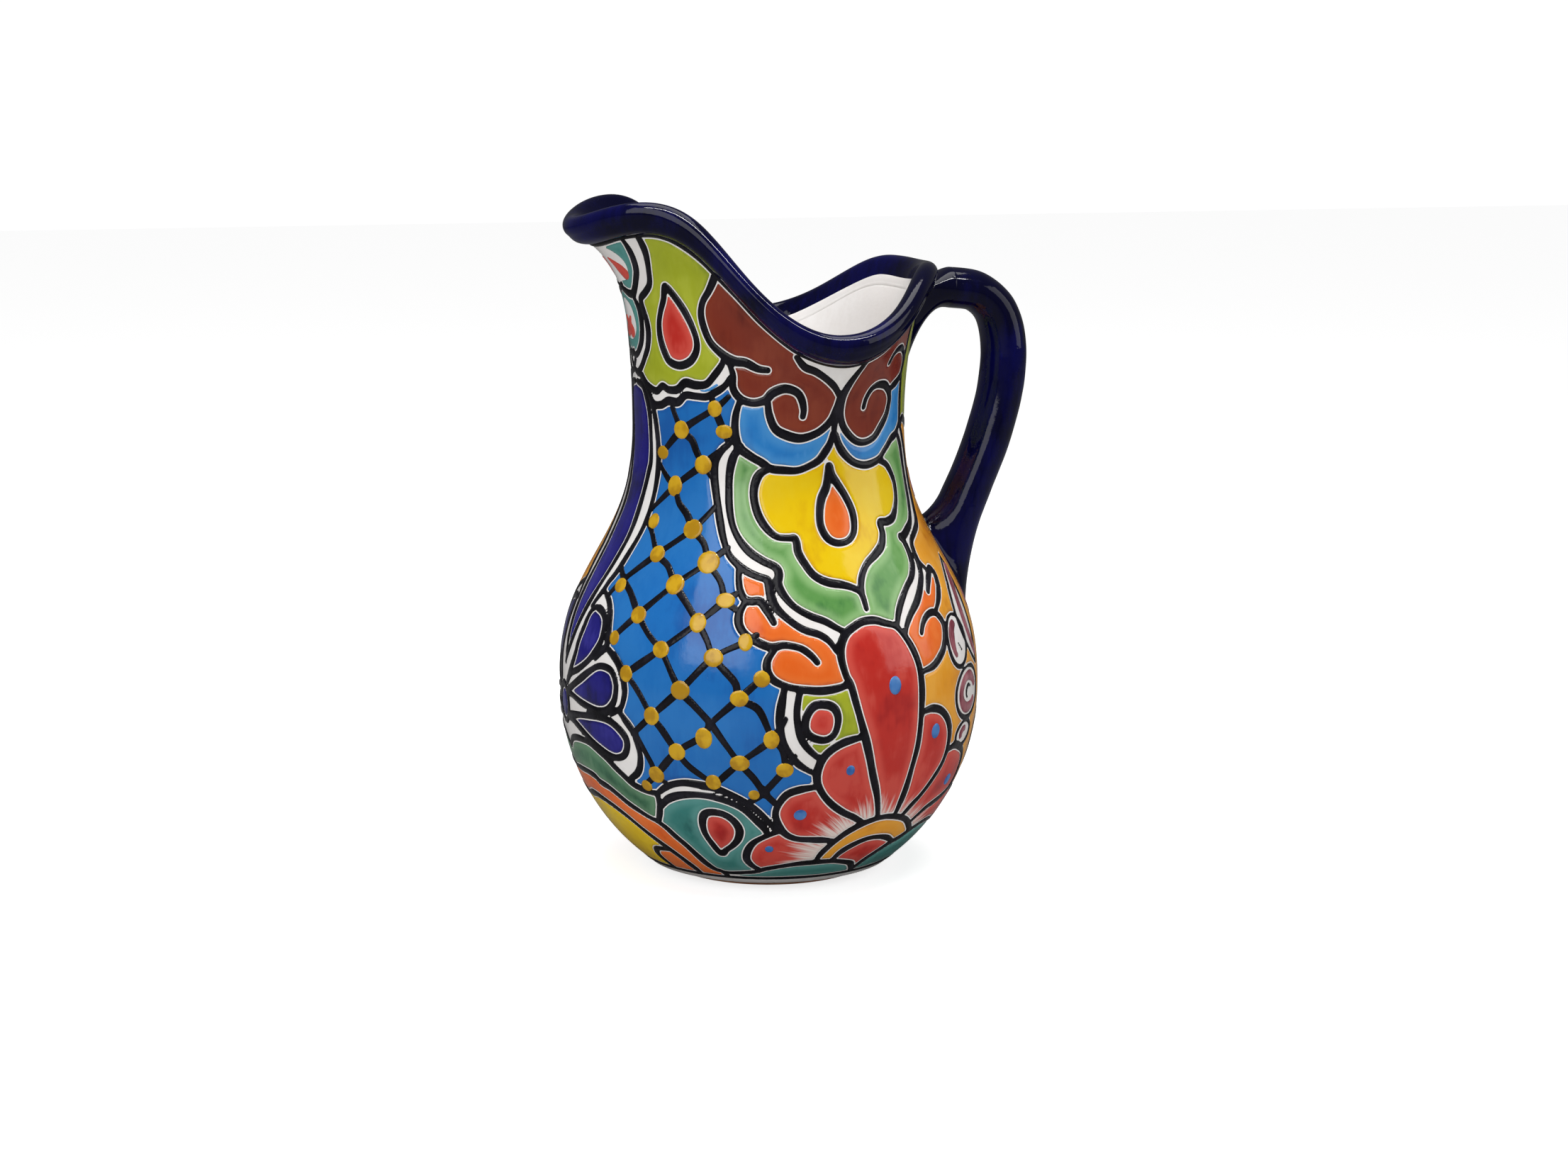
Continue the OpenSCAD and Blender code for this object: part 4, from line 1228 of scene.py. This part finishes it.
def dab_tree():
    """Sets a low drop of glaze on each point, facing outward and sized by the point's own marks."""
    tree, given, out = new_tree("dabs of glaze", [
        ("Rings", "NodeSocketInt"), ("Glaze", "NodeSocketMaterial")])
    drop = add_node(tree, "GeometryNodeMeshUVSphere", (-600, -200))
    drop.inputs["Segments"].default_value = 16
    drop.inputs["Radius"].default_value = 1
    tree.links.new(given.outputs["Rings"], drop.inputs["Rings"])
    spot = add_node(tree, "GeometryNodeInputPosition", (-600, 150))
    parts = add_node(tree, "ShaderNodeSeparateXYZ", (-450, 150))
    tree.links.new(spot.outputs["Position"], parts.inputs[0])
    rise = combine(tree, "ABSOLUTE", parts.outputs["Z"], 0.0, (-300, 250))
    rise = combine(tree, "POWER", rise, 0.4, (-200, 250))
    side = combine(tree, "SIGN", parts.outputs["Z"], 0.0, (-300, 100))
    spread = add_node(tree, "ShaderNodeCombineXYZ", (-50, 200))
    tree.links.new(parts.outputs["X"], spread.inputs["X"])
    tree.links.new(parts.outputs["Y"], spread.inputs["Y"])
    tree.links.new(combine(tree, "MULTIPLY", rise, side, (-120, 150)), spread.inputs["Z"])
    flat = add_node(tree, "GeometryNodeSetPosition", (-200, -150))
    tree.links.new(drop.outputs["Mesh"], flat.inputs["Geometry"])
    tree.links.new(spread.outputs["Vector"], flat.inputs["Position"])
    facing = add_node(tree, "GeometryNodeInputNamedAttribute", (-600, -450), data_type="FLOAT_VECTOR")
    facing.inputs["Name"].default_value = "outward"
    size = add_node(tree, "GeometryNodeInputNamedAttribute", (-600, -650), data_type="FLOAT_VECTOR")
    size.inputs["Name"].default_value = "size"
    turned = add_node(tree, "FunctionNodeAlignRotationToVector", (-350, -450), axis="Z")
    tree.links.new(facing.outputs["Attribute"], turned.inputs["Vector"])
    upright = add_node(tree, "FunctionNodeAlignRotationToVector", (-150, -450), axis="Y", pivot_axis="Z")
    upright.inputs["Vector"].default_value = (0, 0, 1)
    tree.links.new(turned.outputs["Rotation"], upright.inputs["Rotation"])
    cast = add_node(tree, "GeometryNodeInstanceOnPoints", (100, 0))
    tree.links.new(given.outputs["Geometry"], cast.inputs["Points"])
    tree.links.new(flat.outputs["Geometry"], cast.inputs["Instance"])
    tree.links.new(upright.outputs["Rotation"], cast.inputs["Rotation"])
    tree.links.new(size.outputs["Attribute"], cast.inputs["Scale"])
    finish_tree(tree, given, out, cast.outputs["Instances"])
    return tree


def grown(name, start, tree, values):
    """Runs a geometry tree on a start mesh and keeps the result as a plain mesh."""
    seed = bpy.data.objects.new(name + "_start", start)
    bpy.context.scene.collection.objects.link(seed)
    modifier = seed.modifiers.new("shape", "NODES")
    modifier.node_group = tree
    for item in tree.interface.items_tree:
        if item.in_out == "INPUT" and item.name in values:
            modifier[item.identifier] = values[item.name]
    bpy.context.view_layer.update()
    depsgraph = bpy.context.evaluated_depsgraph_get()
    mesh = bpy.data.meshes.new_from_object(seed.evaluated_get(depsgraph))
    mesh.name = name
    seed.modifiers.clear()
    bpy.data.objects.remove(seed)
    piece = bpy.data.objects.new(name, mesh)
    bpy.context.scene.collection.objects.link(piece)
    return piece


def closed_and_outward(piece):
    """Merges doubles and turns the faces outward."""
    work = bmesh.new()
    work.from_mesh(piece.data)
    bmesh.ops.remove_doubles(work, verts=work.verts, dist=1e-6)
    bmesh.ops.recalc_face_normals(work, faces=work.faces)
    for face in work.faces:
        face.smooth = len(face.verts) < 5
    work.to_mesh(piece.data)
    work.free()
    return piece


def strap_handle():
    steps = np.linspace(0, len(STRAP_PATH) - 1, 121)
    points = np.array([strap_at(s) for s in steps])
    start = bpy.data.meshes.new("strap path")
    verts = [((AXIS_X + x) * 0.001, 0.0, z * 0.001) for x, z in points]
    start.from_pydata(verts, [(k, k + 1) for k in range(len(verts) - 1)], [])
    girth = start.attributes.new("girth", "FLOAT", "POINT")
    girth.data.foreach_set("value", [2 * strap_half(s) / STRAP_T for s in steps])
    piece = grown("strap_handle", start, swept_strap_tree(),
                  {"Width": STRAP_W * 0.001, "Thickness": STRAP_T * 0.001, "Sides": STRAP_SIDES,
                   "Ripple": -0.0005, "Glaze": NAVY})
    return closed_and_outward(piece)


def foot_ring():
    start = bpy.data.meshes.new("foot start")
    return closed_and_outward(grown("turned_foot", start, turned_foot_tree(), {
        "Middle Radius": 0.0345, "Tread": 0.006, "Height": 0.002, "Rounding": 0.0006, "Glaze": CLAY}))


def dabs_on(name, dabs, tree, paint, both_sides):
    """One piece of many dabs: each is turn, height, half width and half height."""
    spots = []
    for turn, height, wide, tall in dabs:
        spots.append((turn, height, wide, tall))
        if both_sides and turn < 179:
            spots.append((-turn, height, wide, tall))
    turn, height, wide, tall = np.array(spots, float).T
    level = level_at(turn, height)
    points = pot_face(turn, level, DAB_TOP - 0.42)
    way = pot_face(turn, level, 1.0) - pot_face(turn, level, 0.0)
    start = bpy.data.meshes.new(name + " spots")
    start.from_pydata([tuple(p * 0.001) for p in points], [], [])
    size = np.stack([wide, tall, np.full(len(turn), 0.42)], -1) * 0.001
    for key, values in (("outward", way), ("size", size)):
        mark = start.attributes.new(key, "FLOAT_VECTOR", "POINT")
        mark.data.foreach_set("vector", values.astype(np.float32).ravel())
    return grown(name, start, tree, {"Rings": 8, "Glaze": paint})


def build_pitcher():
    body = ride_on(thrown_body(), WHITE)
    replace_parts(body, "body")
    lip = ride_on(rolled_lip(), NAVY)
    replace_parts(lip, "rim_band")
    ride_on(inner_wash(), WHITE)
    handle = ride_on(strap_handle(), None)
    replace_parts(handle, "handle")
    way = strap_way(0)
    top = clay_joint("top_joint", strap_ring(0, STRAP_SIDES), strap_ring(0.1, STRAP_SIDES),
                     -np.array([way[0], 0, way[1]]), top_patch, -1)
    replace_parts(ride_on(top, NAVY), "handle_top_joint")
    last = len(STRAP_PATH) - 1
    way = strap_way(last)
    low = clay_joint("bottom_joint", strap_ring(last, STRAP_SIDES), strap_ring(last - 0.1, STRAP_SIDES),
                     np.array([way[0], 0, way[1]]), bottom_patch, 1)
    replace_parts(ride_on(low, NAVY), "handle_bottom_joint")
    foot = ride_on(foot_ring(), None)
    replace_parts(foot, "foot_ring")


def paint_pitcher():
    near_lines, far_lines, plum, fine, red_dabs, touches, room, flood, names = lay_pattern()
    for name, colour in names.items():
        value = np.where((flood == colour) | (room <= 0), room, -1.0)
        shell = glaze_shell("glaze_" + name, value, COLOUR_TOP, 0.9, fan=name == "red")
        ride_on(shell, COLOURS[name])
    ride_on(glaze_shell("near_lines", -near_lines, LINE_TOP, 0.8), BLACK)
    ride_on(glaze_shell("far_lines", -far_lines, LINE_TOP, 0.8), BLACK)
    ride_on(glaze_shell("plum_scrolls", -plum, LINE_TOP, 0.8), PLUM)
    ride_on(glaze_shell("lattice_lines", -fine, FINE_TOP, 0.8, COLOUR_TOP), BLACK)
    ride_on(glaze_shell("red_drops", -red_dabs, LINE_TOP, 0.9, COLOUR_TOP - 0.02), RED)
    shell = glaze_shell("blue_touches", -touches, LINE_TOP, 0.8, SLIP_DEPTH)
    ride_on(shell, COLOURS["crescent_blue"])
    tree = dab_tree()
    crossings = [(a, z, 1.28 * r * (1 + 0.10 * math.sin(7 * k)), 1.28 * r * (1 + 0.12 * math.cos(5 * k)))
                 for k, (a, z, r) in enumerate(LATTICE_DABS)]
    ride_on(dabs_on("mustard_dabs", crossings, tree, MUSTARD, False), None)
    ride_on(dabs_on("blue_dabs", PETAL_DABS, tree, DAB_BLUE, True), None)


# ---------- studio ----------


def soft_light(name, spot, aim, size, power, tint=(1, 1, 1)):
    data = bpy.data.lights.new(name, "AREA")
    data.shape = "RECTANGLE"
    data.size, data.size_y = size
    data.energy = power
    data.color = tint
    lamp = bpy.data.objects.new(name, data)
    lamp.location = spot
    lamp.rotation_mode = "QUATERNION"
    lamp.rotation_quaternion = (Vector(aim) - Vector(spot)).to_track_quat("-Z", "Y")
    bpy.context.scene.collection.objects.link(lamp)


def studio():
    side, rise, away = math.radians(-16), math.radians(10.4), 1.1
    back = Vector((math.sin(side) * math.cos(rise), -math.cos(side) * math.cos(rise), math.sin(rise)))
    aim = Vector((0.00548 + AXIS_X * 0.001, -0.00157, 0.1032))
    data = bpy.data.cameras.new("camera")
    data.lens = 68.16
    data.sensor_width = 36
    camera = bpy.data.objects.new("camera", data)
    camera.location = aim + back * away
    camera.rotation_mode = "QUATERNION"
    camera.rotation_quaternion = (-back).to_track_quat("-Z", "Y")
    bpy.context.scene.collection.objects.link(camera)
    bpy.context.scene.camera = camera
    bpy.ops.mesh.primitive_plane_add(size=8, location=(0, 0, 0))
    floor = bpy.context.object
    floor.name = "floor"
    paper = bpy.data.materials.new("pale floor")
    paper.use_nodes = True
    paper.node_tree.nodes["Principled BSDF"].inputs["Roughness"].default_value = 0.8
    paper.node_tree.nodes["Principled BSDF"].inputs["Emission Color"].default_value = (1, 1, 1, 1)
    seen = add_node(paper.node_tree, "ShaderNodeLightPath", (-600, 0)).outputs["Is Camera Ray"]
    glow = combine(paper.node_tree, "MULTIPLY", seen, 0.74, (-400, 0))
    mirror = add_node(paper.node_tree, "ShaderNodeLightPath", (-600, 300)).outputs["Is Glossy Ray"]
    paleness = combine(paper.node_tree, "MULTIPLY", mirror, 0.47, (-400, 300))
    paleness = combine(paper.node_tree, "SUBTRACT", 0.62, paleness, (-200, 300))
    paper.node_tree.links.new(paleness, paper.node_tree.nodes["Principled BSDF"].inputs["Base Color"])
    paper.node_tree.links.new(glow, paper.node_tree.nodes["Principled BSDF"].inputs["Emission Strength"])
    floor.data.materials.append(paper)
    soft_light("window left", (-0.9, -0.9, 0.9), (0, 0, 0.12), (1.0, 1.2), 8)
    soft_light("window right", (1.1, -0.5, 0.6), (0, 0, 0.12), (0.8, 1.0), 3.2)
    soft_light("overhead bar", (0.0, -0.25, 0.95), (0, 0, 0.18), (0.9, 0.04), 5)
    soft_light("overhead", (0.05, 0.2, 1.2), (0, 0, 0.12), (0.9, 0.7), 5)
    world = bpy.data.worlds.new("studio")
    world.use_nodes = True
    tree = world.node_tree
    tree.nodes["Background"].inputs["Color"].default_value = (1, 1, 1, 1)
    seen = add_node(tree, "ShaderNodeLightPath", (-600, 0)).outputs["Is Camera Ray"]
    mirror = add_node(tree, "ShaderNodeLightPath", (-600, -300)).outputs["Is Glossy Ray"]
    strength = combine(tree, "ADD", combine(tree, "MULTIPLY", seen, 0.64, (-400, 0)), 0.38, (-200, 0))
    dimmed = combine(tree, "MULTIPLY", mirror, 0.28, (-400, -300))
    strength = combine(tree, "SUBTRACT", strength, dimmed, (-50, 0))
    tree.links.new(strength, tree.nodes["Background"].inputs["Strength"])
    bpy.context.scene.world = world
    bpy.context.scene.view_settings.view_transform = "Standard"


studio()
build_pitcher()
paint_pitcher()
